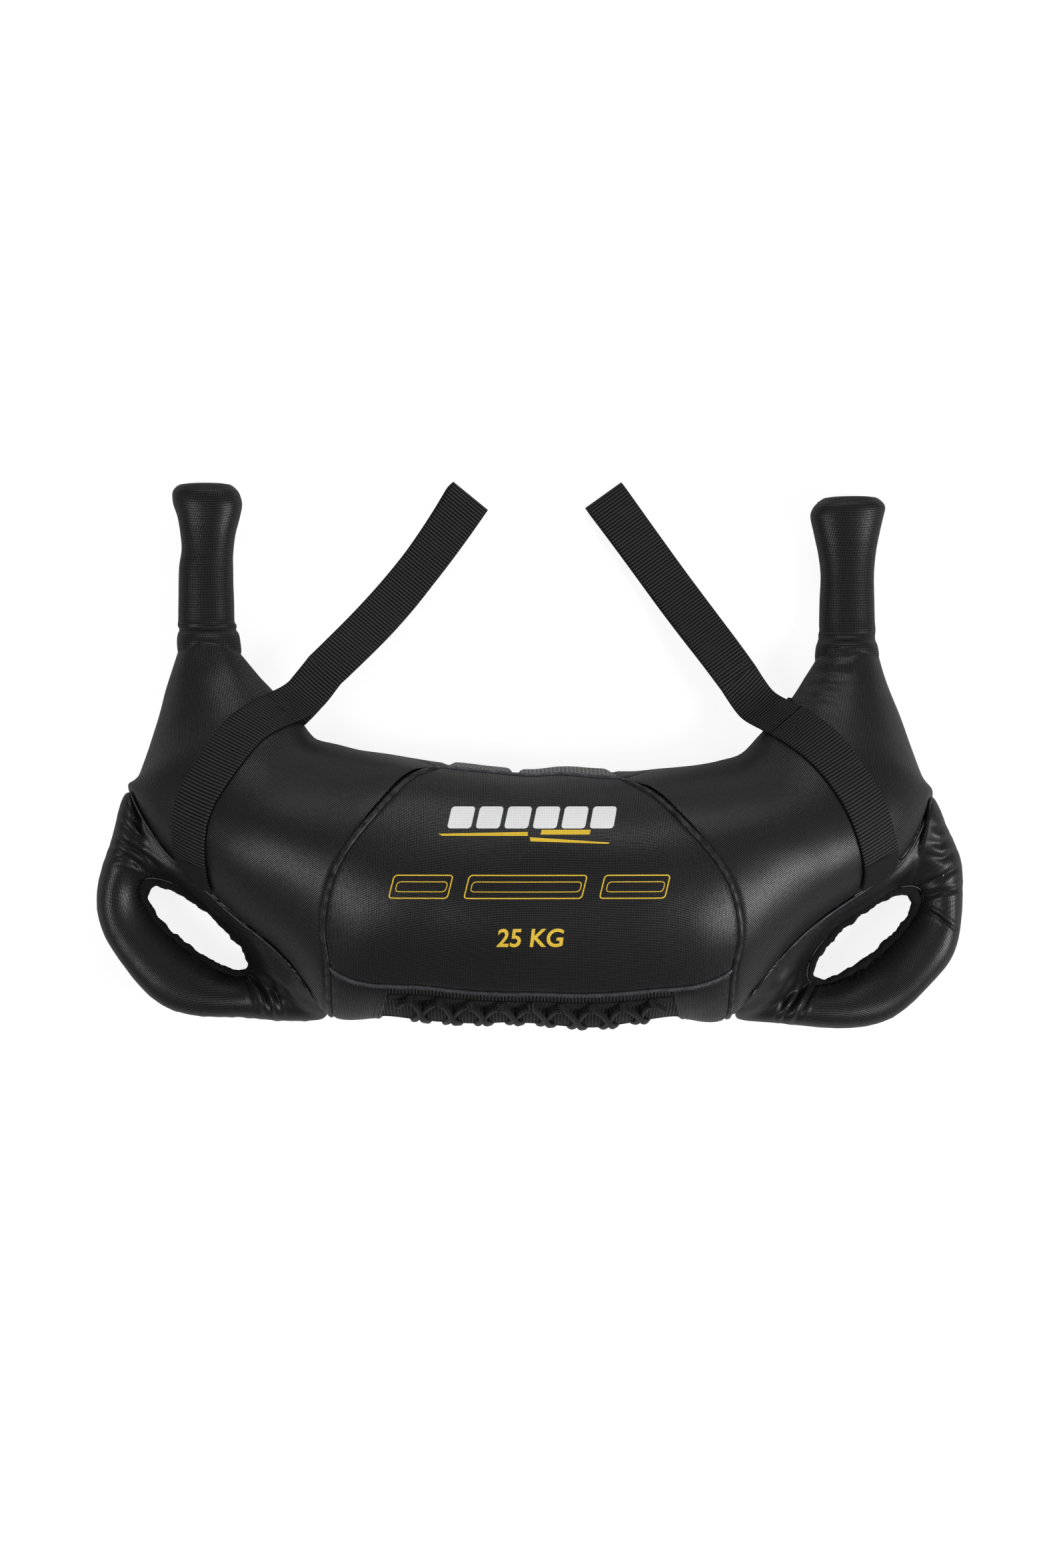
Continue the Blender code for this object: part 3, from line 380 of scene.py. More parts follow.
# Stitches of the strap junctions, as lines in the photograph's pixels
JUNCTION_STITCHES = {
    "left": {
        "loop": [],
        "leg": [[(398, 1048), (447, 1094)], [(408, 1040), (458, 1085)],
                [(340, 1090), (396, 1124)]],
    },
    "right": {
        "loop": [[(1116, 986), (1112, 1052)], [(1069, 1015), (1117, 986)],
                 [(1069, 1015), (1112, 1052)], [(1122, 992), (1075, 1022)]],
        "leg": [[(1200, 1064), (1186, 1107)], [(1155, 1089), (1203, 1063)],
                [(1204, 1064), (1160, 1100)]],
    },
}

# Lace
LACE_RADIUS = 0.0027
LACE_SINK = 0.0003
LACE_LAY_GAP = 0.0002
LACE_PITCHES = 8
LACE_FIRST_STATION = 1.78
LACE_MIDDLE_GIRTH = 180.0
LACE_SWING = 38.0
LACE_CROSS_SHARE = 0.50
LACE_OVER_SHARE = 0.62
LACE_STEPS = 1500
LACE_OVERRUN = 0.10
LOOP_TAPE_HALF_GIRTH = 2.2
LOOP_TAPE_WALL = 0.0008
LOOP_TAPE_HOLD = (0.030, 0.055)
LOOP_TAPE_STOP = 0.03
LOOP_TAPE_LIFT = 0.0004
LOOP_TAPE_ARCH = 0.0020

# Finishes: tint and level of the black leatherette, and pitches of the weaves in metres
INK_TINT = (1.03, 0.97, 1.12)
LEATHERETTE_LEVEL = 0.0048
THREAD_PITCH = 0.0015
RIB_PITCH = 0.0030
MESH_HOLE_PITCH = 0.0036
STRAND_PITCH = 0.0019
LINING_PITCH = 0.001

# Prints: slanted blocks, stripes and outlined bars, in the photograph's pixels
PRINT_HEIGHT = 0.176
PRINT_LIFT = 0.00025
PRINT_EDGE = 0.004
BLOCK_LEFT_EDGES = range(670, 920, 43)
BLOCK_WIDTH = 36
BLOCK_SOFTNESS = 0.0028
BAR_SOFTNESS = 0.0032
STRIPES = [
    [(657, 1251), (792, 1248), (792, 1254), (663, 1254)],
    [(795, 1256), (915, 1264), (913, 1266), (796, 1262)],
    [(813, 1245), (887, 1245), (885, 1252), (811, 1252)],
]
BAR_EDGES = ((582, 672), (695, 873), (898, 998))
WEIGHT_PLACE = (795, 1408)
WEIGHT_SIZE = 0.0215


class Signal:
    """A socket that takes part in sums: each sum adds its Math node."""

    def __init__(self, finish, socket):
        self.finish = finish
        self.socket = socket

    def math(self, operation, *values):
        return self.finish.math(operation, self, *values)

    def __add__(self, other):
        return self.math("ADD", other)

    __radd__ = __add__

    def __sub__(self, other):
        return self.math("SUBTRACT", other)

    def __rsub__(self, other):
        return self.finish.math("SUBTRACT", other, self)

    def __mul__(self, other):
        return self.math("MULTIPLY", other)

    __rmul__ = __mul__

    def __truediv__(self, other):
        return self.math("DIVIDE", other)

    def __pow__(self, other):
        return self.math("POWER", other)

    def __mod__(self, other):
        return self.math("FLOORED_MODULO", other)

    def __abs__(self):
        return self.math("ABSOLUTE")

    def floor(self):
        return self.math("FLOOR")

    def sine(self):
        return self.math("SINE")

    def least(self, other):
        return self.math("MINIMUM", other)

    def most(self, other):
        return self.math("MAXIMUM", other)

    def steps(self, low, high):
        """From 0 at low to 1 at high, smoothly."""
        made = self.finish.node("ShaderNodeMapRange", {"interpolation_type": "SMOOTHSTEP"},
                                {0: self, 1: low, 2: high, 3: 0.0, 4: 1.0})
        return Signal(self.finish, made.outputs[0])


class Finish:
    """One finish of the bag: a material and the nodes that give it its detail."""

    def __init__(self, name, **constants):
        self.material = bpy.data.materials.new(name)
        self.material.use_nodes = True
        self.tree = self.material.node_tree
        self.shader = self.tree.nodes["Principled BSDF"]
        for socket, value in constants.items():
            self.shader.inputs[socket.replace("_", " ")].default_value = value

    def node(self, kind, settings=None, sockets=None):
        """One node: its settings first, then the values or links of its sockets."""
        made = self.tree.nodes.new(kind)
        for setting, value in (settings or {}).items():
            setattr(made, setting, value)
        for socket, value in (sockets or {}).items():
            if isinstance(value, Signal):
                self.tree.links.new(value.socket, made.inputs[socket])
            else:
                made.inputs[socket].default_value = value
        return made

    def math(self, operation, *values):
        made = self.node("ShaderNodeMath", {"operation": operation}, dict(enumerate(values)))
        return Signal(self, made.outputs[0])

    def cloth(self):
        """The two directions of the piece's cloth, in metres."""
        place = self.node("ShaderNodeUVMap", {"uv_map": "cloth"})
        split = self.node("ShaderNodeSeparateXYZ", None, {0: Signal(self, place.outputs[0])})
        return Signal(self, split.outputs[0]), Signal(self, split.outputs[1])

    def object_place(self):
        place = self.node("ShaderNodeTexCoord")
        return Signal(self, place.outputs["Object"])

    def seen_from_above(self):
        """The object's own x and y, in metres."""
        split = self.node("ShaderNodeSeparateXYZ", None, {0: self.object_place()})
        return Signal(self, split.outputs[0]), Signal(self, split.outputs[1])

    def noise(self, scale, detail=2.0, roughness=0.5):
        made = self.node("ShaderNodeTexNoise", None,
                         {"Vector": self.object_place(), "Scale": scale, "Detail": detail,
                          "Roughness": roughness})
        return Signal(self, made.outputs[0])

    def mix(self, share, one, two):
        """A colour between two colours."""
        made = self.node("ShaderNodeMix", {"data_type": "RGBA"}, {0: share, 6: one, 7: two})
        return Signal(self, made.outputs[2])

    def feed(self, socket, signal):
        self.tree.links.new(signal.socket, self.shader.inputs[socket])

    def material_of(self, colour, roughness, height, depth):
        """The finished material, with its colour, its roughness and its small relief."""
        self.feed("Base Color", colour)
        self.feed("Roughness", roughness)
        made = self.node("ShaderNodeBump", None,
                         {"Strength": 1.0, "Distance": depth, "Height": height})
        self.feed("Normal", Signal(self, made.outputs[0]))
        return self.material


PLAIN_TINT = (1.0, 1.0, 1.0)


def grey(level, tint=PLAIN_TINT):
    return (level * tint[0], level * tint[1], level * tint[2], 1.0)


def woven(finish, u, v, pitch):
    """Height of a plain weave: threads that pass over and under each other."""
    across = abs((u * (math.pi / pitch)).sine())
    down = abs((v * (math.pi / pitch)).sine())
    parity = ((u / pitch).floor() + (v / pitch).floor()) % 2.0
    return across ** (0.30 + 0.60 * parity) * down ** (0.90 - 0.60 * parity)


def leatherette(name, gloss):
    """Black leatherette, embossed with a basket weave whose threads glint, its colour painted
    lighter on the thread tops and darker in the gaps as painted glints and shade.
    """
    finish = Finish(name, Specular_IOR_Level=0.10, Coat_Roughness=0.40, Coat_IOR=1.7)
    weave = woven(finish, *finish.cloth(), THREAD_PITCH)
    grain = finish.noise(1500.0, 2.0)
    wear = finish.noise(16.0, 4.0, 0.6)
    yarn = finish.noise(420.0, 2.0)
    level = LEATHERETTE_LEVEL
    # Painted glints and shade: the colour is lighter on the weave's thread tops and darker in its
    # gaps
    tone = finish.mix(weave, grey(level * 0.15, INK_TINT), grey(level * 1.8, INK_TINT))
    tone = finish.mix(wear.steps(0.55, 0.85) * 0.35, tone, grey(level * 2.1, INK_TINT))
    finish.feed("Coat Weight", weave.steps(0.42, 0.95) * (0.6 + 0.8 * yarn) * gloss)
    return finish.material_of(tone, 0.62 - 0.10 * weave + 0.12 * (yarn - 0.5),
                              weave + 0.15 * grain + 0.20 * yarn, 0.00034)


def smooth_leather(name, level, gloss):
    """The same leatherette where it is folded tight, with its weave pressed flat."""
    finish = Finish(name, Specular_IOR_Level=0.12, Coat_Roughness=0.42)
    grain = finish.noise(900.0, 3.0)
    wear = finish.noise(130.0, 3.0)
    finish.feed("Coat Weight", gloss * wear.steps(0.2, 0.8))
    tone = finish.mix(wear, grey(level * 0.5, INK_TINT), grey(level * 1.5, INK_TINT))
    return finish.material_of(tone, 0.55 + 0.15 * grain, grain + 0.5 * wear, 0.00015)


def ribbed_webbing(name, level, crosswise):
    """Black webbing with ribs over its width, and twisted yarn in each rib, its colour painted
    light on the rib tops and near black between them as painted highlights and shade.
    """
    finish = Finish(name, Specular_IOR_Level=0.18)
    u, v = finish.cloth()
    if not crosswise:
        u, v = v, u
    ribs = abs((v * (math.pi / RIB_PITCH)).sine())
    yarn = abs(((u + v * 0.35) * (math.pi / (RIB_PITCH * 0.42))).sine())
    fuzz = finish.noise(2200.0, 2.0)
    worn = finish.noise(60.0, 3.0)
    # Painted highlights on the rib tops and painted shade between the ribs
    painted_rib_light = (ribs * (0.6 + 0.4 * yarn)).steps(0.42, 1.0)
    tone = finish.mix(painted_rib_light, grey(level * 0.03), grey(level * 4.7))
    tone = finish.mix(worn.steps(0.5, 0.8) * 0.25, tone, grey(level * 2.6))
    return finish.material_of(tone, 0.72 - 0.14 * painted_rib_light + 0.10 * fuzz,
                              ribs ** 0.6 * (0.75 + 0.25 * yarn) + 0.15 * fuzz, 0.00050)


def spacer_mesh(name, level):
    """Grey spacer mesh: a thick knit with rows of round holes."""
    finish = Finish(name, Specular_IOR_Level=0.3)
    u, v = finish.cloth()
    turn = 2.0 * math.pi / MESH_HOLE_PITCH
    lean = math.sqrt(3.0) / 2.0
    holes = ((u * turn).sine() + (u * (turn * 0.5) + v * (turn * lean)).sine()
             + (u * (turn * 0.5) - v * (turn * lean)).sine())
    hole = holes.steps(0.5, 1.6)
    fuzz = finish.noise(1400.0, 3.0)
    tone = finish.mix(hole, grey(level), grey(level * 0.12))
    tone = finish.mix(fuzz.steps(0.5, 0.8) * 0.4, tone, grey(level * 1.7))
    return finish.material_of(tone, 0.86 + 0.10 * fuzz, 0.8 * (1.0 - hole) + 0.3 * fuzz, 0.0012)


def knitted_binding(name, level):
    """Brushed knitted elastic that binds the hand holes."""
    finish = Finish(name, Specular_IOR_Level=0.25)
    u, v = finish.cloth()
    wale = abs((u * (math.pi / 0.0022)).sine())
    stitch = abs((v * (math.pi / 0.0016) + wale * 1.3).sine())
    fuzz = finish.noise(900.0, 5.0, 0.7)
    tone = finish.mix(stitch * fuzz, grey(level * 0.4), grey(level * 2.2))
    tone = finish.mix(fuzz.steps(0.58, 0.78) * 0.5, tone, grey(level * 5.0))
    return finish.material_of(tone, 0.86 + 0.12 * fuzz, 0.5 * stitch + 0.8 * fuzz, 0.0010)


def braided_cord(name, level):
    """A round braid: strands that cross in diamonds along the cord."""
    finish = Finish(name, Specular_IOR_Level=0.30)
    u, v = finish.cloth()
    one = abs(((u + v * 0.8) * (math.pi / STRAND_PITCH)).sine())
    two = abs(((u - v * 0.8) * (math.pi / STRAND_PITCH)).sine())
    braid = one.most(two) * (0.5 + 0.5 * one.least(two))
    fuzz = finish.noise(1900.0, 2.0)
    return finish.material_of(finish.mix(braid, grey(level * 0.3), grey(level * 1.7)),
                              0.58 - 0.18 * braid + 0.12 * fuzz, braid + 0.2 * fuzz, 0.0006)


def plain_cloth(name, level, tint=PLAIN_TINT, scale=700.0, roughness=0.85):
    """Lining, wadding and pouch cloth of the inside, on object coordinates."""
    finish = Finish(name, Specular_IOR_Level=0.3)
    weave = woven(finish, *finish.seen_from_above(), LINING_PITCH)
    fibre = finish.noise(scale, 3.0)
    tone = finish.mix(weave * fibre, grey(level * 0.7, tint), grey(level * 1.2, tint))
    return finish.material_of(tone, roughness + 0.10 * fibre, weave + fibre, 0.0003)


def thread(name, level):
    """Sewing thread, twisted."""
    finish = Finish(name, Specular_IOR_Level=0.4)
    twist = finish.noise(2600.0, 1.0)
    return finish.material_of(finish.mix(twist, grey(level * 0.6), grey(level * 1.4)),
                              0.55 + 0.2 * twist, twist, 0.0002)


def print_ink(name, colour):
    """Printed film that takes the grain of the leatherette beneath it."""
    finish = Finish(name, Specular_IOR_Level=0.4)
    weave = woven(finish, *finish.seen_from_above(), THREAD_PITCH)
    speck = finish.noise(700.0, 3.0)
    dull = tuple(0.72 * part for part in colour) + (1.0,)
    return finish.material_of(finish.mix(weave, dull, (*colour, 1.0)), 0.42 + 0.15 * speck,
                              weave + 0.3 * speck, 0.0003)


FINISHES = {name: maker(name, *settings) for name, (maker, *settings) in {
    "leatherette": (leatherette, 0.90),
    "horn_leatherette": (leatherette, 0.65),
    "ribbed_insert": (ribbed_webbing, 0.0085, False),
    "webbing": (ribbed_webbing, 0.0090, True),
    "binding": (knitted_binding, 0.0085),
    "spacer_mesh": (spacer_mesh, 0.20),
    "cord": (braided_cord, 0.005),
    "webbing_plain": (plain_cloth, 0.0075),
    "lining": (plain_cloth, 0.05),
    "core_foam": (plain_cloth, 0.010, PLAIN_TINT, 260.0),
    "wadding": (plain_cloth, 0.55, (1.0, 1.0, 0.95), 260.0, 0.88),
    "sand_pouch": (plain_cloth, 0.22, (1.05, 0.95, 0.75)),
    "welt_leather": (smooth_leather, 0.0100, 0.8),
    # Smooth leatherette of welts, piping and rim line, painted lighter as a highlight along these
    # edges
    "worn_edge": (smooth_leather, 0.045, 1.0),
    "seam_thread": (thread, 0.022),
    "light_thread": (thread, 0.060),
    "white_ink": (print_ink, (0.97, 0.97, 0.97)),
    "yellow_ink": (print_ink, (0.90, 0.60, 0.035)),
}.items()}


def seen(x, y, height):
    """The point at a height above the floor that the camera sees at a pixel."""
    pixel = FLOOR_PIXEL * (CAMERA_PLACE[2] - height) / CAMERA_PLACE[2]
    return (
        (x - PHOTO_WIDTH / 2) * pixel + CAMERA_PLACE[0],
        (PHOTO_HEIGHT / 2 - y) * pixel + CAMERA_PLACE[1],
        height,
    )


def pixels_of(points):
    """Where the camera sees points, in pixels of the photograph."""
    pixel = FLOOR_PIXEL * (CAMERA_PLACE[2] - points[..., 2]) / CAMERA_PLACE[2]
    return np.stack([
        PHOTO_WIDTH / 2 + (points[..., 0] - CAMERA_PLACE[0]) / pixel,
        PHOTO_HEIGHT / 2 - (points[..., 1] - CAMERA_PLACE[1]) / pixel,
    ], axis=-1)


def smooth_between(table, place):
    """Points of the smooth curve through the table's rows, at fractional rows."""
    table = np.asarray(table, float)
    last = len(table) - 1
    place = np.clip(np.asarray(place, float), 0.0, last)
    row = np.minimum(place.astype(int), last - 1)
    s = (place - row).reshape(place.shape + (1,) * (table.ndim - 1))
    p0 = table[np.maximum(row - 1, 0)]
    p1 = table[row]
    p2 = table[row + 1]
    p3 = table[np.minimum(row + 2, last)]
    return 0.5 * (2 * p1 + (p2 - p0) * s + (2 * p0 - 5 * p1 + 4 * p2 - p3) * s ** 2
                  + (3 * p1 - p0 - 3 * p2 + p3) * s ** 3)


def eased(value, low, high):
    """From 0 at low to 1 at high, smoothly."""
    share = np.clip((value - low) / (high - low), 0.0, 1.0)
    return share * share * (3.0 - 2.0 * share)


def gone(value, low, high):
    """From 1 at low to 0 at high, smoothly."""
    return 1.0 - eased(value, low, high)


def bell(value, middle, width):
    """1 at the middle, falling to 0 on both sides."""
    return np.exp(-((value - middle) / width) ** 2)


def wave(distance, length, phase=0.0):
    """A wave of height 1 along a distance."""
    return np.cos(distance * 2 * math.pi / length + phase)


def length_of(vectors):
    return np.linalg.norm(vectors, axis=-1)


def unit(vectors):
    return vectors / np.maximum(length_of(vectors), 1e-12)[..., None]


def outline_point(shares):
    return shares[0] * BAG_HALF_WIDTH, BOTTOM_Y + shares[1] * BAG_HEIGHT


def outline_rows(shares, middle_share):
    left = [(-x, y) for x, y in shares["left"]]
    return [outline_point(row) for row in left + [middle_share] + shares["right"][::-1]]


OUTER_ROWS = outline_rows(OUTER_SHARES, OUTER_MIDDLE_SHARES)
INNER_ROWS = outline_rows(INNER_SHARES, INNER_MIDDLE_SHARES)
THICKNESS_ROWS = THICKNESS_SHARES + THICKNESS_SHARES[-2::-1]


def evened(table, place):
    """The smooth curve through the table, with its corners evened out."""
    shifts = np.array([-1.0, -0.66, -0.33, 0.0, 0.33, 0.66, 1.0]) * EVEN_REACH
    weights = np.array([0.5, 0.8, 1.0, 1.1, 1.0, 0.8, 0.5])
    near_end = np.minimum(place, len(table) - 1 - place).clip(0.0, EVEN_REACH) / EVEN_REACH
    total = sum(weight * smooth_between(table, place + shift * near_end)
                for shift, weight in zip(shifts, weights))
    return total / weights.sum()


def aligned(*values):
    """Numbers and arrays as arrays of one shape."""
    return np.broadcast_arrays(*(np.asarray(value, float) for value in values))


def skin(station, girth, lift=0.0):
    """Points of the bag's skin, or of a layer outside (+) or inside (-) it."""
    station, girth, lift = aligned(station, girth, lift)
    place = station + LAST_STATION
    front_share = eased(np.sin(np.radians(girth)), *FRONT_FADE)[..., None]
    outer = smooth_between(OUTER_ROWS, place)
    outer = outer + (evened(OUTER_ROWS, place) - outer) * front_share
    inner = smooth_between(INNER_ROWS, place)
    inner = inner + (evened(INNER_ROWS, place) - inner) * front_share
    thickness = smooth_between(THICKNESS_ROWS, place) * BAG_THICKNESS
    half = (outer - inner) / 2
    middle = (outer + inner) / 2
    angle = np.radians(girth)
    reach = (length_of(half) + lift) * np.cos(angle)
    spot = middle - unit(half) * reach[..., None]
    equator = thickness * EQUATOR_SHARE
    rise = np.sin(angle)
    front = equator + (thickness - equator + lift) * rise
    rear = equator - (equator * REAR_FILL_SHARE + lift) * np.abs(rise) ** REAR_CURVE_SHARE
    height = np.where(rise >= 0.0, front, rear)
    height = (height + np.sqrt(height ** 2 + SOFT_FLOOR ** 2)) / 2
    return np.concatenate([spot, height[..., None]], axis=-1)


def slopes(station, girth):
    """How far the skin's points move per station and per degree."""
    step = SLOPE_STEP
    along = skin(station + step, girth) - skin(station - step, girth)
    around = skin(station, girth + 25 * step) - skin(station, girth - 25 * step)
    return along / (2 * step), around / (50 * step)


def skin_normal(station, girth):
    along, around = slopes(station, girth)
    return unit(np.cross(around, along))


def walk(station, girth, heading, distance, steps=5):
    """The station and girth reached by walking on the skin along a heading."""
    for _ in range(steps):
        along, around = slopes(station, girth)
        wanted = heading * (distance / steps)[..., None]
        a = (along * along).sum(-1)
        b = (along * around).sum(-1)
        c = (around * around).sum(-1)
        e = (along * wanted).sum(-1)
        f = (around * wanted).sum(-1)
        det = a * c - b * b
        station = station + (c * e - b * f) / det
        girth = girth + (a * f - b * e) / det
    return station, girth


def centre_seam(girth):
    """Distance in stations of the curved seams from the middle."""
    from_crook = np.abs((girth + 180.0) % 360.0 - 180.0)
    return smooth_between(CENTRE_SEAM_STATIONS, from_crook / CENTRE_SEAM_PITCH)


WAVES = np.random.default_rng(RIPPLE_SEED)
WAVE_ROWS = [
    (WAVES.normal(size=3), WAVES.uniform(0.0, 2 * math.pi), span, tall)
    for span, tall, count in ((0.110, 0.0009, 6), (0.045, 0.00011, 8), (0.020, 0.00003, 8))
    for _ in range(count)
]


def ripples(points, tall=1.0):
    """Gentle waves of stuffed cloth, the same wherever a point lies."""
    total = np.zeros(points.shape[:-1])
    for heading, phase, span, height in WAVE_ROWS:
        heading = heading / np.linalg.norm(heading)
        total += height * np.sin(points @ heading * (2 * math.pi / span) + phase)
    return total * tall * RIPPLE_SHARE


def creases(points, lines):
    """Depth of creases that follow lines of the photograph, to be taken off."""
    spots = pixels_of(points)
    total = np.zeros(points.shape[:-1])
    for line, depth, half_width in lines:
        nearest = np.full(points.shape[:-1], 1e9)
        fade = np.zeros(points.shape[:-1])
        line = np.array(line, float)
        reach = np.concatenate([[0.0], np.cumsum(length_of(np.diff(line, axis=0)))])
        for one, two, from_, to in zip(line, line[1:], reach, reach[1:]):
            run = two - one
            share = np.clip(((spots - one) @ run) / (run @ run), 0.0, 1.0)
            gap = length_of(spots - one - share[..., None] * run)
            place = (from_ + (to - from_) * share) / reach[-1]
            closer = gap < nearest
            nearest = np.where(closer, gap, nearest)
            tapered = np.sin(np.pi * (CREASE_TIP + (1.0 - 2.0 * CREASE_TIP) * place))
            fade = np.where(closer, tapered, fade)
        gap = nearest * FLOOR_PIXEL / half_width
        bank = CREASE_BANK_SHARE * bell(gap, CREASE_BANK_PLACE, 1.0)
        total += depth * fade * (bell(gap, 0.0, 1.0) - bank)
    return total


def crook_edge(station):
    """Girth of the seam along the crook: it leaves the centre panel and slips behind."""
    past = np.abs(station) - centre_seam(TOP_SEAM)
    return TOP_SEAM - (TOP_SEAM - CROOK_SEAM) * eased(past, *CROOK_SLIP)


def valley(gap, half_width, depth):
    """A groove along a seam, as a lift below zero."""
    return -depth * bell(gap, 0.0, half_width)


def relief(station, girth):
    """How far the dressed skin stands off the plain one."""
    station, girth = aligned(station, girth)
    round_girth = girth % 360.0
    base = skin(station, girth)
    along, around = slopes(station, girth)
    per_station = length_of(along)
    per_degree = length_of(around)
    past_seam = np.abs(station) - centre_seam(girth)
    seam_gap = past_seam * per_station
    total = ripples(base)
    total += valley(seam_gap, *CURVED_GROOVE)
    pucker = wave(round_girth * per_degree, PUCKER_LENGTH, PUCKER_DRIFT * total)
    total += PUCKER_HEIGHT * pucker * np.exp(-np.abs(seam_gap) / PUCKER_REACH)
    inside = gone(past_seam, *SEAM_FADE)
    level_pucker = wave(station * per_station, LEVEL_PUCKER_LENGTH, PUCKER_DRIFT * total)
    for seam, deep in LEVEL_SEAM_DEPTHS:
        gap = (round_girth - seam) * per_degree
        total += inside * valley(gap, LEVEL_GROOVE_HALF_WIDTH, deep)
        total += (inside * LEVEL_PUCKER_HEIGHT * level_pucker
                  * np.exp(-np.abs(gap) / LEVEL_PUCKER_REACH))
    edge = crook_edge(station)
    gap = ((girth - edge + 180.0) % 360.0 - 180.0) * per_degree
    total += (1.0 - inside) * valley(gap, *CROOK_GROOVE)
    reach = np.abs(station)
    round_edge = eased(round_girth, *PLACKET_START) * gone(round_girth, *PLACKET_STOP)
    total -= PLACKET_DENT * gone(reach, *PLACKET_END) * round_edge
    gap = (round_girth - CORNER_SEAM) * per_degree
    total += (eased(reach, *CORNER_START) * gone(reach, *CORNER_END)
              * valley(gap, *CORNER_GROOVE))
    gap = (round_girth - OUTER_EDGE_GIRTH) * per_degree
    total += eased(reach, *CORNER_END) * valley(gap, *OUTER_EDGE_GROOVE)
    front = np.sin(np.radians(girth)).clip(0.0, 1.0)
    near_neck = reach > NECK_CREASE_STATION
    if near_neck.any():
        total -= np.where(near_neck, creases(base, NECK_CREASES), 0.0) * front
    return total


def dressed(station, girth, lift=0.0):
    """Points of the dressed skin, with the arch of its neck edges."""
    points = skin(station, girth, relief(station, girth) + lift)
    past = eased(np.abs(np.asarray(station, float)), *NECK_FADE)
    arch = NECK_ARCH * past ** 1.5 * np.sin(np.radians(girth)).clip(0.0, 1.0)
    points[..., 1] += arch
    return points


def linked(name, data):
    """A new object of the scene."""
    made = bpy.data.objects.new(name, data)
    bpy.context.scene.collection.objects.link(made)
    return made


def mesh_of(name, bm):
    """The mesh of a finished bmesh."""
    mesh = bpy.data.meshes.new(name)
    bm.to_mesh(mesh)
    bm.free()
    return mesh


def link_object(name, bm, finish):
    """The object of a finished bmesh, in its finish."""
    mesh = mesh_of(name, bm)
    mesh.materials.append(FINISHES[finish])
    return linked(name, mesh)


def cloth_map(points):
    """The piece's flat map, in metres along both directions, from its middle."""
    rows, columns = points.shape[:2]
    u = np.zeros((rows, columns))
    v = np.zeros((rows, columns))
    u[:, 1:] = np.cumsum(length_of(np.diff(points, axis=1)), axis=1)
    v[1:, :] = np.cumsum(length_of(np.diff(points, axis=0)), axis=0)
    u -= u[:, columns // 2:columns // 2 + 1]
    v -= v[rows // 2:rows // 2 + 1, :]
    return u, v


def cloth_piece(name, points, finish, wall=0.0, offset=-1.0, weld=False, flip=False):
    """A piece of cloth through a grid of points [row, column], with its flat map."""
    rows, columns = points.shape[:2]
    bm = bmesh.new()
    bmesh.ops.create_grid(bm, x_segments=columns - 1, y_segments=rows - 1, size=1.0)
    flat = np.array([vert.co[:2] for vert in bm.verts])
    column = np.rint((flat[:, 0] + 1.0) / 2.0 * (columns - 1)).astype(int)
    row = np.rint((1.0 - flat[:, 1]) / 2.0 * (rows - 1)).astype(int)
    u, v = cloth_map(points)
    places = points[row, column]
    us = u[row, column]
    vs = v[row, column]
    for vert, place in zip(bm.verts, places):
        vert.co = place
    bm.verts.index_update()
    layer = bm.loops.layers.uv.new("cloth")
    for face in bm.faces:
        face.smooth = True
        for loop in face.loops:
            index = loop.vert.index
            loop[layer].uv = (us[index], vs[index])
    if weld:
        bmesh.ops.remove_doubles(bm, verts=bm.verts, dist=WELD_DISTANCE)
    if flip:
        bmesh.ops.reverse_faces(bm, faces=bm.faces)
    made = link_object(name, bm, finish)
    if wall:
        thicken = made.modifiers.new("wall", "SOLIDIFY")
        thicken.thickness = wall
        thicken.offset = offset
        thicken.use_even_offset = False
        thicken.use_quality_normals = True
    return made


def settle(piece):
    """The piece's modifiers, applied to its mesh."""
    graph = bpy.context.evaluated_depsgraph_get()
    mesh = bpy.data.meshes.new_from_object(piece.evaluated_get(graph), depsgraph=graph)
    piece.modifiers.clear()
    piece.data = mesh
    return piece


def placed(piece, body, slot, *nodes):
    """Rides a piece on a body and hides the nodes that it stands for; its slot is not used."""
    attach(piece, body)
    if nodes:
        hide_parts(*nodes)
    return piece


def crowded(count):
    """Shares from 0 to 1 that crowd towards both ends."""
    share = np.linspace(0.0, 1.0, count)
    return share - CROWDING * np.sin(2 * math.pi * share) / (2 * math.pi)


def seam_of(sign):
    """The curved seam of one side, as stations by girth."""
    return lambda girth: sign * centre_seam(girth)


def edge_at(station):
    """A straight edge across the bag, as stations by girth."""
    return lambda girth: station + 0.0 * girth


def skin_grid(starts, ends, girth_from, girth_to, columns, rows):
    """Stations and girths of a panel between two seams across and two round the girth."""
    along = crowded(columns)[None, :]
    around = crowded(rows)[:, None]
    girth = girth_from + (girth_to - girth_from) * around
    first = starts(girth)
    last = ends(girth)
    station = first + (last - first) * along
    return station, np.broadcast_to(girth, station.shape).copy()


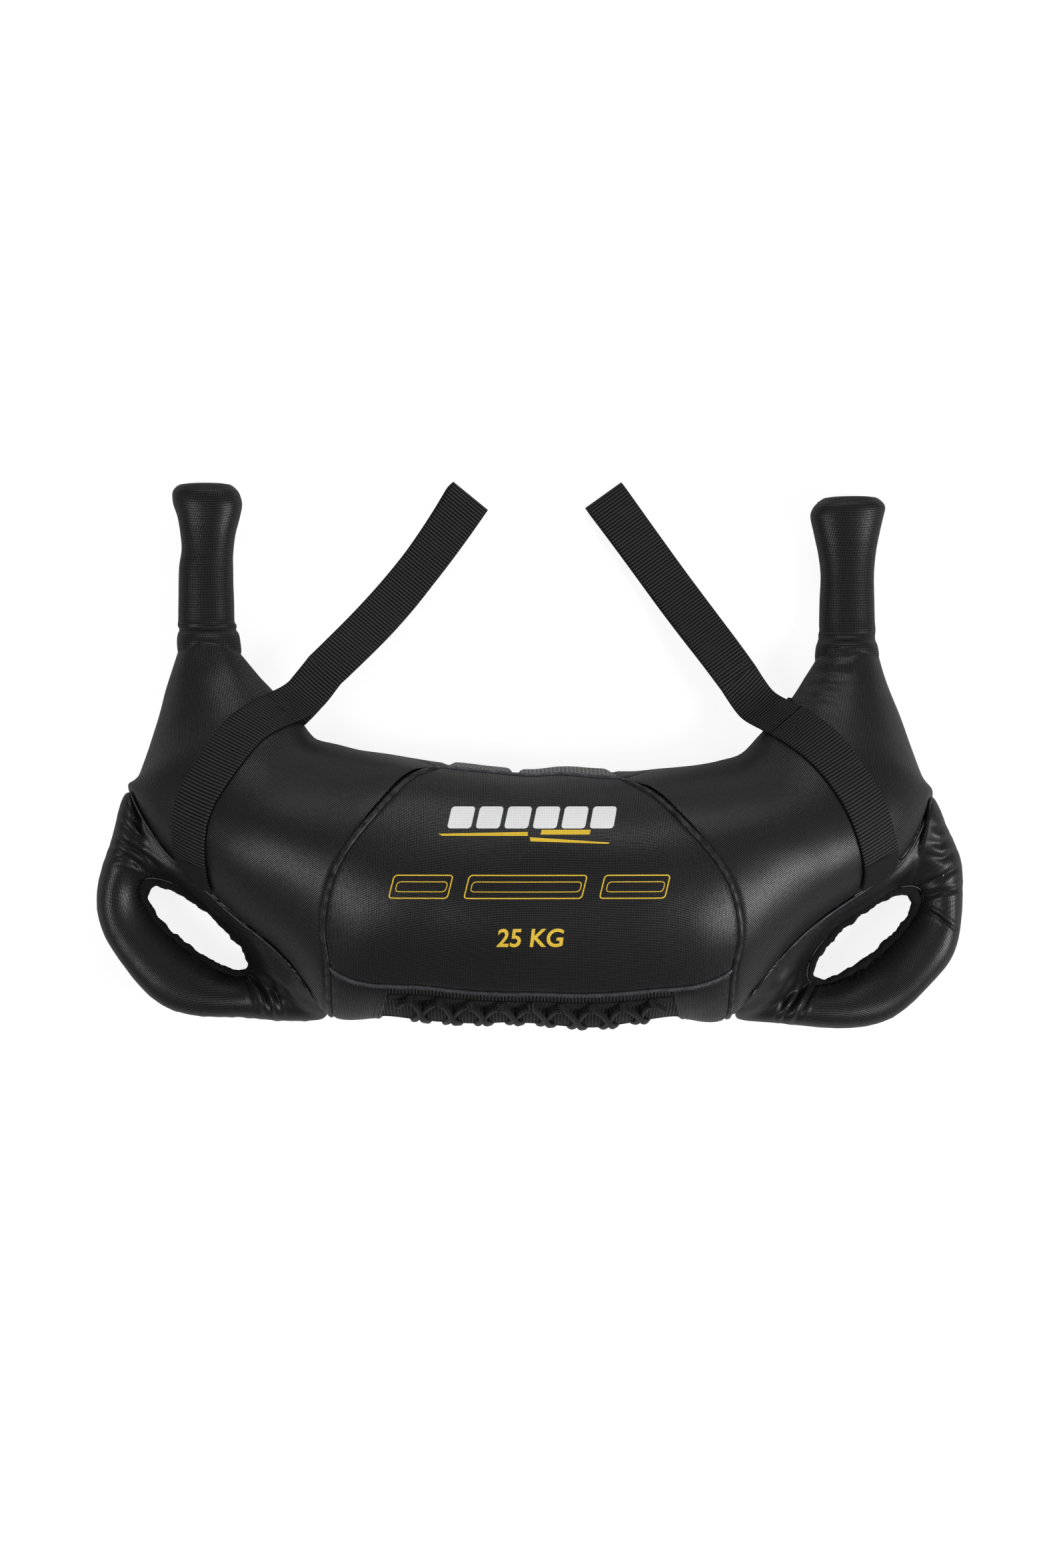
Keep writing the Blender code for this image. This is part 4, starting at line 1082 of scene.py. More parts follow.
def panels():
    """The bag's outer skin: three panels in front and two behind."""
    for side, sign in SIDES:
        edges = [seam_of(sign), edge_at(sign * LAST_STATION)][::int(sign)]
        station, girth = skin_grid(*edges, TOP_SEAM, 180.0, 150, 84)
        share = (girth - TOP_SEAM) / (180.0 - TOP_SEAM)
        girth += (crook_edge(station) - TOP_SEAM) * (1.0 - share)
        placed(cloth_piece(f"{side}_front_side_panel", dressed(station, girth), "leatherette",
                           FABRIC_WALL), "bag", "leatherette", f"front_{side}_panel")
        station, girth = skin_grid(*edges, 180.0, 360.0 + TOP_SEAM, 120, 76)
        share = (girth - 180.0) / (180.0 + TOP_SEAM)
        girth += (crook_edge(station) - TOP_SEAM) * share
        placed(cloth_piece(f"{side}_rear_side_panel", dressed(station, girth), "leatherette",
                           FABRIC_WALL), "bag", "leatherette", f"rear_{side}_panel")
    station, girth = skin_grid(seam_of(-1.0), seam_of(1.0), TOP_SEAM, BOTTOM_SEAM, 130, 76)
    return placed(cloth_piece("centre_panel", dressed(station, girth), "leatherette", FABRIC_WALL),
                  "bag", "leatherette", "front_centre_panel")


def mesh_pad():
    """The rear pad of spacer mesh: two lobes with a sewn channel between them."""
    station, girth = skin_grid(seam_of(-1.0), seam_of(1.0), REAR_BOTTOM_SEAM,
                               360.0 + TOP_SEAM, 140, 90)
    reach = station / np.maximum(centre_seam(girth), 0.1)
    channel = bell(reach, CHANNEL_PLACE, CHANNEL_WIDTH)
    lobes = gone(np.abs(reach), *LOBE_END)
    edge = gone(girth, *PAD_TOP)
    low = eased(girth, *PAD_BOTTOM)
    crown = (LOBE_RISE * lobes - CHANNEL_DEPTH * channel) * edge * low
    rolls = np.abs(np.sin(np.radians(girth) * PAD_ROLLS))
    rolls = ROLL_DEPTH * rolls * lobes * edge * low
    points = dressed(station, girth, crown - rolls)
    piece = cloth_piece("rear_pad", points, "spacer_mesh", PAD_WALL)
    placed(piece, "bag", "spacer_mesh", "rear_mesh_pad")


def placket():
    """Plain ends, ribbed flaps with hems, and the tongue behind the lace."""
    stop = PLACKET_END_STATION
    for side, sign in SIDES:
        edges = [edge_at(sign * stop), seam_of(sign)][::int(sign)]
        station, girth = skin_grid(*edges, BOTTOM_SEAM, REAR_BOTTOM_SEAM, 30, 50)
        lap = CHEEK_LAP * bell(np.abs(station), stop, 0.05)
        placed(cloth_piece(f"{side}_placket_cheek", dressed(station, girth, lap), "leatherette",
                           FABRIC_WALL), "bag", "leatherette", f"{side}_placket_end")
    ends = (edge_at(-stop), edge_at(stop))
    for name, node, low, high, hem in (
            ("front_flap", "front_lace_flap", BOTTOM_SEAM, SLIT_FRONT, SLIT_FRONT),
            ("rear_flap", "rear_lace_flap", SLIT_REAR, REAR_BOTTOM_SEAM, SLIT_REAR)):
        station, girth = skin_grid(*ends, low, high, 110, 26)
        rolled = HEM_ROLL * bell(girth, hem, 2.6)
        placed(cloth_piece(name, dressed(station, girth, rolled), "ribbed_insert", FLAP_WALL),
               "bag", "ribbed_insert", node)
    station, girth = skin_grid(*ends, SLIT_FRONT - TONGUE_LAP, SLIT_REAR + TONGUE_LAP, 80, 16)
    placed(cloth_piece("tongue", dressed(station, girth, -TONGUE_SINK), "ribbed_insert",
                       FABRIC_WALL), "bag", "ribbed_insert", "lace_tongue")


def band_on_skin(station, girth, width, profile, columns):
    """Points of a band along a path on the skin; profile(share) is its lift."""
    middle = skin(station, girth)
    heading = unit(np.gradient(middle, axis=0))
    across = unit(np.cross(skin_normal(station, girth), heading))
    rows = []
    for share in np.linspace(0.0, 1.0, columns):
        distance = np.full(station.shape, width * (share - 0.5))
        spot = walk(station, girth, across, distance)
        rows.append(dressed(*spot, profile(share)))
    return np.stack(rows, axis=1)


def welts():
    """Rounded ridges of the curved seams, and the flatter top and bottom seams."""
    def ridge(share):
        return -0.0006 + 0.0034 * math.sin(math.pi * share) ** 0.7

    def flat_lap(share):
        return -0.0004 + 0.0022 * math.sin(math.pi * share) ** 0.35

    girth = np.linspace(TOP_SEAM + 1.0, WELT_LAST_GIRTH, 190)
    for side, sign in SIDES:
        points = band_on_skin(sign * centre_seam(girth), girth, CURVED_WELT_WIDTH, ridge, 13)
        placed(cloth_piece(f"{side}_curved_welt", points, "welt_leather", WELT_WALL),
               "bag", "leatherette", f"{side}_centre_welt")
    # The top and bottom welts are painted lighter, as a highlight along these seams
    for name, node, seam, wide, shape in (
            ("top_seam_welt", "top_welt", TOP_SEAM, TOP_WELT_WIDTH, ridge),
            ("bottom_seam_welt", "bottom_welt", BOTTOM_SEAM, BOTTOM_WELT_WIDTH, flat_lap)):
        end = centre_seam(np.array(seam)) - 0.02
        station = np.linspace(-end, end, 220)
        points = band_on_skin(station, np.full(station.shape, seam), wide, shape, 11)
        placed(cloth_piece(name, points, "worn_edge", WELT_WALL), "bag", "leatherette", node)


def stitch_row(bm, points, normals, length, gap, radius):
    """Short stitches along a line of points: small capsules laid end to end."""
    reach = np.concatenate([[0.0], np.cumsum(length_of(np.diff(points, axis=0)))])
    starts = np.arange(gap / 2, reach[-1] - length, length + gap)
    for start in starts:
        ends = [np.array([np.interp(spot, reach, points[:, axis]) for axis in range(3)])
                for spot in (start, start + length)]
        place = int(np.searchsorted(reach, start + length / 2))
        normal = Vector(normals[min(place, len(normals) - 1)])
        middle = Vector((ends[0] + ends[1]) / 2)
        run = Vector(ends[1] - ends[0]).normalized()
        side = normal.cross(run).normalized()
        turn = Matrix((run, side, run.cross(side))).transposed().to_4x4()
        size = Matrix.Diagonal((length / 2, radius, radius, 1.0))
        bmesh.ops.create_uvsphere(bm, u_segments=6, v_segments=4, radius=1.0,
                                  matrix=Matrix.Translation(middle) @ turn @ size)


def stitching(name, finish, rows, length=0.0030, gap=0.0012, radius=0.00032):
    """All the stitches of some rows, each a line of points with its normals."""
    bm = bmesh.new()
    for points, normals in rows:
        stitch_row(bm, points, normals, length, gap, radius)
    for face in bm.faces:
        face.smooth = True
    return link_object(name, bm, finish)


def skin_line(station, girth, lift):
    """A line over the skin and its normals."""
    station, girth = aligned(station, girth)
    return dressed(station, girth, lift), skin_normal(station, girth)


def line_on(piece, line, height):
    """A line of the photograph laid on a piece from above, with the piece's normals."""
    graph = bpy.context.evaluated_depsgraph_get()
    tree = BVHTree.FromObject(piece, graph)
    points = []
    normals = []
    for share in np.linspace(0.0, 1.0, STITCH_SAMPLES):
        x, y = np.array(line[0]) * (1.0 - share) + np.array(line[1]) * share
        low = Vector(seen(x, y, height))
        eye = Vector(CAMERA_PLACE)
        spot, normal, _, _ = tree.ray_cast(eye, (low - eye).normalized())
        if spot:
            points.append(spot + normal * STITCH_LIFT)
            normals.append(normal if normal.z > 0.0 else -normal)
    return np.array(points), np.array(normals)


def junction_stitches(side, part, piece, body):
    """The sewn lines that hold the strap's layers together."""
    rows = [line_on(piece, line, JUNCTION_TOP) for line in JUNCTION_STITCHES[side][part]]
    rows = [row for row in rows if len(row[0]) >= FEWEST_SAMPLES]
    if rows:
        placed(stitching(f"{side}_{part}_stitches", "seam_thread", rows), body, "webbing")


def seam_stitches():
    """Topstitching of the welts, the bottom seam and the placket."""
    girth = np.linspace(TOP_SEAM + 2.0, WELT_LAST_GIRTH - 2.0, 160)
    rows = [skin_line(sign * (centre_seam(girth) + shift), girth, 0.0)
            for _, sign in SIDES for shift in WELT_STITCHES]
    placed(stitching("curved_seam_stitches", "seam_thread", rows), "bag", "leatherette")
    end = float(centre_seam(np.array(BOTTOM_SEAM))) - 0.1
    station = np.linspace(-end, end, 200)
    rows = [skin_line(station, BOTTOM_SEAM + shift, 0.0017) for shift in BOTTOM_STITCHES]
    placed(stitching("bottom_seam_stitches", "light_thread", rows, 0.0026, 0.0009, 0.0003),
           "bag", "leatherette")
    girth = np.linspace(BOTTOM_SEAM + 3.0, SLIT_FRONT - 1.0, 40)
    rows = [skin_line(sign * (PLACKET_END_STATION + shift), girth, 0.0009)
            for _, sign in SIDES for shift in PLACKET_STITCHES]
    placed(stitching("placket_stitches", "seam_thread", rows), "bag", "leatherette")


def hole_point(side, angle, grow):
    """Points of the hand hole's outline, grown outwards."""
    sign = -1.0 if side == "left" else 1.0
    turn = np.radians(angle)
    x = (HOLE_LENGTH / 2 + grow) * np.cos(turn)
    y = (HOLE_WIDTH / 2 + grow) * np.sin(turn)
    tilt = math.radians(HOLE_TILT)
    across = x * math.cos(tilt) + y * math.sin(tilt)
    down = -x * math.sin(tilt) + y * math.cos(tilt)
    rise = (HOLE_HIGH_HEIGHT - HOLE_LOW_HEIGHT) * (np.sin(turn) + 1.0) / 2
    centre = outline_point(HOLE_CENTRE_SHARES[side])
    return np.stack([centre[0] - sign * across, centre[1] + down, HOLE_LOW_HEIGHT + rise], -1)


def corner_table(side):
    """Round one corner handle: upper and lower outer point, facing, half thickness, seam."""
    sign = -1.0 if side == "left" else 1.0
    rows = []
    table = zip(CORNER_SHARES[side], CORNER_HOLE_ANGLES, CORNER_THICKNESS_SHARES,
                CORNER_HEIGHT_SHARES)
    for (x, y), angle, thick, high in table:
        spot = (*outline_point((sign * x, y)), high * CORNER_HEIGHT)
        rows.append((*spot, *spot, math.cos(math.radians(angle)), math.sin(math.radians(angle)),
                     thick * CORNER_HALF_THICKNESS, 0.0))
    for station, angle, thick in CORNER_SEAM_ROWS:
        upper = dressed(sign * station, CORNER_SEAM, 0.0004)
        lower = dressed(sign * station, CORNER_SEAM_REAR, 0.0004)
        rows.append((*upper, *lower, math.cos(math.radians(angle)),
                     math.sin(math.radians(angle)), thick * CORNER_HALF_THICKNESS, 1.0))
    return np.array(rows)


def smooth_round(table, count):
    """Evenly indexed points of the smooth closed curve through the table's rows."""
    rows = len(table)
    looped = np.concatenate([table[-2:], table, table[:3]])
    places = 2.0 + rows * np.arange(count + 1) / count
    return sum(weight * smooth_between(looped, places + shift)
               for shift, weight in ((-0.5, 0.25), (0.0, 0.5), (0.5, 0.25)))


def grid_normals(points):
    """Outward directions of a grid of points."""
    across = np.gradient(points, axis=1)
    down = np.gradient(points, axis=0)
    return unit(np.cross(down, across))


def corner_points(side):
    """The cover of a corner handle, from the hole over the top and back beneath."""
    rows = smooth_round(corner_table(side), CORNER_RINGS)
    facing = np.degrees(np.arctan2(rows[:, 7], rows[:, 6]))
    rim = hole_point(side, facing, 2 * BINDING_HALF_WIDTH - RIM_TUCK)
    angles = np.concatenate([np.linspace(FIRST_ANGLE, 178.0, CORNER_SIDES // 2),
                             np.linspace(182.0, LAST_ANGLE, CORNER_SIDES // 2)])
    seam = eased(rows[:, 9], 0.1, 0.9)
    grid = []
    for angle in angles:
        turn = math.radians(angle)
        share = (1.0 - math.cos(turn)) / 2.0
        outer = rows[:, 0:3] if angle < 180.0 else rows[:, 3:6]
        spot = rim + (outer - rim) * share
        taper = 1.0 - LIP_TAPER_SHARE * ((1.0 + math.cos(turn)) / 2) ** 2
        rise = math.copysign(abs(math.sin(turn)) ** PUFF_POWER, math.sin(turn))
        settled = 1.0 - CLEFT_FILL_SHARE * seam * float(eased(np.array(share), 0.30, 1.0))
        spot[:, 2] += rows[:, 8] * rise * taper * settled
        grid.append(spot)
    points = np.stack(grid, axis=0)
    normals = grid_normals(points)
    outward = np.sign((normals * (points - points.mean(axis=0))).sum(-1).mean())
    normals = normals * outward
    lift = ripples(points, 1.3)
    top = eased(normals[..., 2], -0.05, 0.45)
    lift -= creases(points, CORNER_CREASES[side]) * top
    reach = np.cumsum(length_of(np.diff(rows[:, 0:3], axis=0, prepend=rows[:1, 0:3])))
    edge = bell(angles, 184.0, 9.0)[:, None] * (1.0 - seam)[None, :]
    wavy = wave(reach, 0.017) * np.sin(reach * 2 * math.pi / 0.061)
    lift += edge * EDGE_WAVE_HEIGHT * wavy[None, :]
    rim_zone = sum(bell(angles, angle, RIM_WAVE_REACH) for angle in (FIRST_ANGLE, LAST_ANGLE))
    lift += rim_zone[:, None] * RIM_WAVE_HEIGHT * wave(reach, 0.009, 1.0)[None, :]
    points = points + normals * lift[..., None]
    points[..., 2] = np.maximum(points[..., 2], FABRIC_WALL)
    points[:, -1] = points[:, 0]
    return points


def corner_handles():
    """Padded rings round the hand holes, their bound edges and their piping."""
    for side, sign in SIDES:
        piece = cloth_piece(f"{side}_corner_handle", corner_points(side), "leatherette",
                            FABRIC_WALL, weld=True, flip=side == "left")
        placed(piece, "bag", "leatherette", f"{side}_corner_cover")
        binding(side)
        # The piping is painted lighter, as a highlight along the corner seam
        station = np.linspace(sign * PIPING_STATIONS[0], sign * PIPING_STATIONS[1], 150)
        points = tube_points(*skin_line(station, CORNER_SEAM, PIPING_LIFT), PIPING_RADIUS, 10)
        placed(cloth_piece(f"{side}_piping", points, "worn_edge", weld=True),
               "bag", "leatherette", f"{side}_corner_piping")


def binding(side):
    """The brushed, bound edge of a hand hole."""
    angle = np.linspace(0.0, 360.0, BINDING_RINGS + 1)
    near = hole_point(side, angle, -BINDING_PULL * bell(angle, 184.0, 26.0))
    far = hole_point(side, angle, 2 * BINDING_HALF_WIDTH)
    grid = []
    for k in range(BINDING_SIDES + 1):
        turn = 2 * math.pi * k / BINDING_SIDES
        spot = (near + far) / 2 + (far - near) / 2 * math.cos(turn)
        spot[:, 2] += BINDING_HALF_HEIGHT * math.sin(turn)
        grid.append(spot)
    points = np.stack(grid, axis=0)
    normals = grid_normals(points)
    centre = (near + far) / 2
    outward = np.sign((normals * (points - centre)).sum(-1).mean())
    fray = ripples(points * 3.1, 0.45) + ripples(points * 9.0, 0.50) + ripples(points * 21.0, 0.20)
    points = points + outward * normals * fray[..., None]
    points[-1] = points[0]
    points[:, -1] = points[:, 0]
    placed(cloth_piece(f"{side}_hole_edge", points, "binding", weld=True, flip=outward < 0.0),
           "bag", "binding", f"{side}_hole_binding")
    # A thin line along the cover's rim, painted lighter as a highlight
    bound = hole_point(side, angle, 2 * BINDING_HALF_WIDTH - RIM_TUCK / 2)
    bound[:, 2] += BINDING_HALF_HEIGHT * 0.95
    rim = tube_points(bound, unit(centre - bound), RIM_LINE_RADIUS, 8)
    placed(cloth_piece(f"{side}_bound_edge", rim, "worn_edge", weld=True), "bag", "binding")


def tube_points(path, normals, radius, sides):
    """Rings of a round cord along a path, closed to a point at both ends."""
    heading = unit(np.gradient(path, axis=0))
    side = unit(np.cross(heading, normals))
    over = np.cross(side, heading)
    size = np.full(len(path), radius)
    size[0] = 0.0
    size[-1] = 0.0
    size[1] = radius * CORD_TIP_SHARE
    size[-2] = radius * CORD_TIP_SHARE
    rings = []
    for k in range(sides + 1):
        turn = 2 * math.pi * k / sides
        ring = side * math.cos(turn) + over * math.sin(turn)
        rings.append(path + ring * size[:, None])
    return np.stack(rings, axis=1)


def horn_grid(side, first, last, rows):
    """Points of a horn's cover between two rows of its table."""
    table = np.array(HORN_ROWS[side])
    place = np.linspace(first, last, rows)
    row = smooth_between(table, place)
    left = np.array([seen(x, y, HORN_REST_HEIGHT) for y, x in row[:, :2]])
    right = np.array([seen(x, y, HORN_REST_HEIGHT) for y, x in row[:, [0, 2]]])
    centre = (left + right) / 2
    half = length_of(right - left) / 2
    thick = row[:, 3]
    centre[:, 2] = np.maximum(HORN_REST_HEIGHT, thick + HORN_FLOOR_GAP)
    angle = np.linspace(0.0, 2 * math.pi, HORN_SIDES + 1)
    cosine, sine = (np.sign(wave) * np.abs(wave) ** HORN_SQUARENESS
                    for wave in (np.cos(angle), np.sin(angle)))
    points = np.repeat(centre[:, None, :], HORN_SIDES + 1, axis=1)
    points[..., 0] += half[:, None] * cosine[None, :]
    points[..., 2] += thick[:, None] * sine[None, :]
    return points


def horn_relief(side, points):
    """A horn's points with its waves and creases, clear of the floor and closed round."""
    normals = -grid_normals(points)
    top = eased(normals[..., 2], -0.25, 0.25)
    lift = ripples(points, 0.3) + 0.0004 - creases(points, HORN_CREASES[side]) * top
    points = points + normals * lift[..., None]
    points[..., 2] = np.maximum(points[..., 2], FABRIC_WALL + 0.0003)
    points[:, -1] = points[:, 0]
    return points


def horns():
    """Each horn: a sleeve where it leaves the neck, and the cover with its closed end."""
    for side, _ in SIDES:
        split = HORN_SPLIT_ROWS[side]
        points = horn_relief(side, horn_grid(side, 0.0, split, SLEEVE_RINGS))
        sleeve = cloth_piece(f"{side}_neck_sleeve", points, "horn_leatherette", FABRIC_WALL,
                             weld=True, flip=True)
        settle(sleeve)
        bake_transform(sleeve)
        last = len(HORN_ROWS[side]) - 1
        points = horn_relief(side, horn_grid(side, split, last, COVER_RINGS))
        middle = points[-1].mean(axis=0)
        caps = [middle + (points[-1] - middle) * shrink + np.array([0.0, push, 0.0])
                for shrink, push in CAP_RINGS]
        points = np.concatenate([points, np.stack(caps)])
        cover = cloth_piece(f"{side}_grip_cover", points, "horn_leatherette", FABRIC_WALL,
                            weld=True, flip=True)
        settle(cover)
        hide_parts(f"{side}_horn_collar", f"{side}_horn_cover", f"{side}_horn_cap")
        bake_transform(cover)


def loop_frame(side):
    """Where the free loop starts, its heading and the direction across it."""
    start = np.array([*outline_point(LOOP_START_SHARES[side]), JUNCTION_TOP])
    turn = math.radians(LOOP_HEADING[side])
    heading = np.array([math.cos(turn), math.sin(turn), 0.0])
    across = np.cross([0.0, 0.0, 1.0], heading)
    return start, heading, across


def strap_rows(spots, across):
    """Rows of a flat band from its middle points and its direction across."""
    shares = np.linspace(-0.5, 0.5, STRAP_COLUMNS)
    return spots[:, None, :] + across[:, None, :] * (WEBBING_WIDTH * shares)[None, :, None]


def along_band(rows, count):
    """The band's rows, spaced evenly and smoothly along its length."""
    places = np.linspace(0.0, len(rows) - 1.0, BAND_STEPS)
    edge = smooth_between(rows, places)[:, MEASURED_COLUMN]
    reach = np.concatenate([[0.0], np.cumsum(length_of(np.diff(edge, axis=0)))])
    return smooth_between(rows, np.interp(np.linspace(0.0, reach[-1], count), reach, places))


def sewn_band(place, width, lift):
    """Rows of webbing that is sewn flat on the skin along a path."""
    return band_on_skin(place[:, 0], place[:, 1], width, lambda share: lift, STRAP_COLUMNS)


def straps():
    """Sewn legs and the free loop of each webbing strap."""
    for side, _ in SIDES:
        start, heading, across = loop_frame(side)
        end = start + heading * HINGE_OVERLAP
        root = start - heading * JUNCTION_LENGTH

        def free_row(spot, drop):
            return strap_rows((spot - np.array([0.0, 0.0, drop]))[None], across[None])

        table = np.array(FRONT_STRAP_PLACES[side])
        place = evened(table, np.linspace(0.0, len(table) - 1.0, 60))
        rows = np.concatenate([sewn_band(place, WEBBING_WIDTH, STRAP_LAY_GAP),
                               free_row(root, WEBBING_WALL), free_row(end, WEBBING_WALL)])
        piece = cloth_piece(f"{side}_front_leg", along_band(rows, 170), "webbing",
                            WEBBING_WALL, 1.0)
        placed(piece, "bag", "webbing", f"{side}_strap_front_leg")
        place = evened(table, np.linspace(0.0, STRAP_END_ROWS, 10))
        rows = sewn_band(place, WEBBING_WIDTH + PATCH_OVERLAP, STRAP_LAY_GAP + WEBBING_WALL)
        placed(cloth_piece(f"{side}_strap_end", rows, "webbing_plain", STRAP_END_WALL, 1.0),
               "bag", "webbing")
        junction_stitches(side, "leg", piece, "bag")

        table = np.array(REAR_STRAP_PLACES[side])
        place = smooth_between(table, np.linspace(0.0, len(table) - 1.0, 16))
        drop = WEBBING_WALL + PLY_GAP
        rows = np.concatenate([free_row(end, drop), free_row(root, drop),
                               sewn_band(place, WEBBING_WIDTH, STRAP_LAY_GAP)])
        placed(cloth_piece(f"{side}_rear_leg", along_band(rows, 80), "webbing", WEBBING_WALL, 1.0),
               "bag", "webbing", f"{side}_strap_rear_leg")

        last = len(LOOP_PROFILE_SHARES) - 1
        profile = smooth_between(LOOP_PROFILE_SHARES, np.linspace(0.0, last, LOOP_ROWS))
        share = profile[:, 0]
        spots = start + heading * (LOOP_LENGTH * share)[:, None]
        lower = eased(np.arange(LOOP_ROWS) / (LOOP_ROWS - 1.0), 0.42, 0.60)
        bow = LOOP_BOW[side] * 4.0 * share * (1.0 - share)
        bow = bow + LOOP_TWIST[side] * lower * share ** 2
        spots = spots + across * bow[:, None]
        spots[:, 2] = JUNCTION_TOP * profile[:, 1]
        spread = (1.0 + LOOP_SPREAD_SHARE * share ** 4)[:, None]
        rows = strap_rows(spots, across[None] * spread)
        piece = cloth_piece(f"{side}_loop", rows, "webbing", WEBBING_WALL, 0.0)
        placed(piece, f"{side}_strap", "webbing", f"{side}_strap_loop")
        junction_stitches(side, "loop", piece, f"{side}_strap")


def lacing():
    """The braided lace, wound over both flaps, and the tapes that hold its turns."""
    turns = np.linspace(-LACE_OVERRUN, LACE_PITCHES + LACE_OVERRUN, LACE_STEPS)
    phase = 2 * math.pi * turns
    place = turns + LACE_CROSS_SHARE * np.sin(phase)
    station = LACE_FIRST_STATION * (2.0 * place / LACE_PITCHES - 1.0)
    girth = LACE_MIDDLE_GIRTH - LACE_SWING * np.cos(phase)
    front = eased(np.cos(phase), 0.10, 0.65) + eased(-np.cos(phase), 0.50, 1.0)
    over = LACE_RADIUS * LACE_OVER_SHARE * (1.0 + np.sin(phase)) * eased(np.cos(phase), 0.30, 0.70)
    lift = LACE_SINK + (LACE_RADIUS + LACE_LAY_GAP) * front + over
    points = tube_points(*skin_line(station, girth, lift), LACE_RADIUS, 12)
    placed(cloth_piece("braided_lace", points, "cord", weld=True), "bag", "cord", "lace")

    first = -PLACKET_END_STATION + LOOP_TAPE_STOP
    station = np.linspace(first, -first, 420)[None, :]
    across = np.linspace(-1.0, 1.0, 13)[:, None]
    arch = np.sqrt(np.clip(1.0 - (across / 0.9) ** 2, 0.0, 1.0))
    pitch = 2.0 * LACE_FIRST_STATION / LACE_PITCHES
    for name, node, middle, shift, last in (
            ("front_loops", "front_loop_tape", LACE_MIDDLE_GIRTH - LACE_SWING, 0.0, LACE_PITCHES),
            ("rear_loops", "rear_loop_tape", LACE_MIDDLE_GIRTH + LACE_SWING, 0.5,
             LACE_PITCHES - 1)):
        turn = (station + LACE_FIRST_STATION) / pitch - shift
        near_turn = np.abs(turn - np.rint(turn).clip(0, last)) * pitch
        hold = gone(near_turn, *LOOP_TAPE_HOLD)
        lift = LOOP_TAPE_LIFT + hold * arch * (2.0 * LACE_RADIUS + LACE_LAY_GAP + LOOP_TAPE_ARCH)
        girth = middle + LOOP_TAPE_HALF_GIRTH * across + 0.0 * station
        points = dressed(station + 0.0 * girth, girth, lift)
        placed(cloth_piece(name, points, "ribbed_insert", LOOP_TAPE_WALL, 1.0),
               "bag", "webbing", node)


def drape(bm, tree):
    """Lays flat geometry on the bag from above."""
    for vert in bm.verts:
        spot, _, _, _ = tree.ray_cast(Vector((vert.co.x, vert.co.y, 1.0)), Vector((0, 0, -1)))
        vert.co.z = spot.z + PRINT_LIFT if spot else BAG_THICKNESS


def print_piece(name, finish, bm, tree):
    """One print: a flat shape that is cut fine and laid on the panel."""
    bmesh.ops.triangulate(bm, faces=bm.faces)
    for _ in range(6):
        long_edges = [edge for edge in bm.edges if edge.calc_length() > PRINT_EDGE]
        if not long_edges:
            break
        bmesh.ops.subdivide_edges(bm, edges=long_edges, cuts=1)
        bmesh.ops.triangulate(bm, faces=bm.faces)
    drape(bm, tree)
    for face in bm.faces:
        face.smooth = True
        if face.normal.z < 0.0:
            face.normal_flip()
    placed(link_object(name, bm, finish), "bag", "leatherette")


def flat_shape(bm, corners):
    """Adds a flat face through pixels of the photograph."""
    bm.faces.new([bm.verts.new(seen(x, y, PRINT_HEIGHT)) for x, y in corners])


def soften(bm, radius):
    """Rounds the corners of flat shapes."""
    bmesh.ops.bevel(bm, geom=list(bm.verts), offset=radius, segments=4, profile=0.5,
                    affect="VERTICES", material=-1)


def outlined(bm, corners, line_width):
    """Adds the outline of a flat shape with softened corners."""
    shape = bmesh.new()
    flat_shape(shape, corners)
    soften(shape, BAR_SOFTNESS)
    bmesh.ops.inset_region(shape, faces=list(shape.faces), thickness=line_width,
                           use_boundary=True, use_even_offset=True)
    largest = max(shape.faces, key=lambda face: face.calc_area())
    bmesh.ops.delete(shape, geom=[largest], context="FACES_ONLY")
    mesh = mesh_of("outline", shape)
    bm.from_mesh(mesh)
    bpy.data.meshes.remove(mesh)


def prints(panel):
    """Blocks, stripes and outlined bars on the centre panel, and the weight."""
    tree = BVHTree.FromObject(panel, bpy.context.evaluated_depsgraph_get())

    bm = bmesh.new()
    for low in BLOCK_LEFT_EDGES:
        high = low + BLOCK_WIDTH
        flat_shape(bm, [(low + 7, 1210), (high + 7, 1210), (high, 1243), (low, 1243)])
    soften(bm, BLOCK_SOFTNESS)
    print_piece("white_blocks", "white_ink", bm, tree)

    bm = bmesh.new()
    for stripe in STRIPES:
        flat_shape(bm, stripe)
    print_piece("yellow_stripes", "yellow_ink", bm, tree)

    bm = bmesh.new()
    for low, high in BAR_EDGES:
        outlined(bm, [(low + 9, 1312), (high + 9, 1312), (high, 1348), (low, 1348)], 0.0010)
        outlined(bm, [(low + 14, 1322), (high + 1, 1322), (high - 3, 1338), (low + 10, 1338)],
                 0.0007)
    print_piece("yellow_outlines", "yellow_ink", bm, tree)

    words = bpy.data.curves.new("weight_mark", "FONT")
    words.body = "25 KG"
    words.size = WEIGHT_SIZE
    words.align_x = "CENTER"
    words.align_y = "CENTER"
    words.offset = 0.0004
    words.shear = 0.12
    text = linked("weight_mark_text", words)
    graph = bpy.context.evaluated_depsgraph_get()
    mesh = bpy.data.meshes.new_from_object(text.evaluated_get(graph), depsgraph=graph)
    bpy.data.objects.remove(text, do_unlink=True)
    mesh.transform(Matrix.Translation(seen(*WEIGHT_PLACE, PRINT_HEIGHT)))
    bm = bmesh.new()
    bm.from_mesh(mesh)
    print_piece("weight_mark", "yellow_ink", bm, tree)


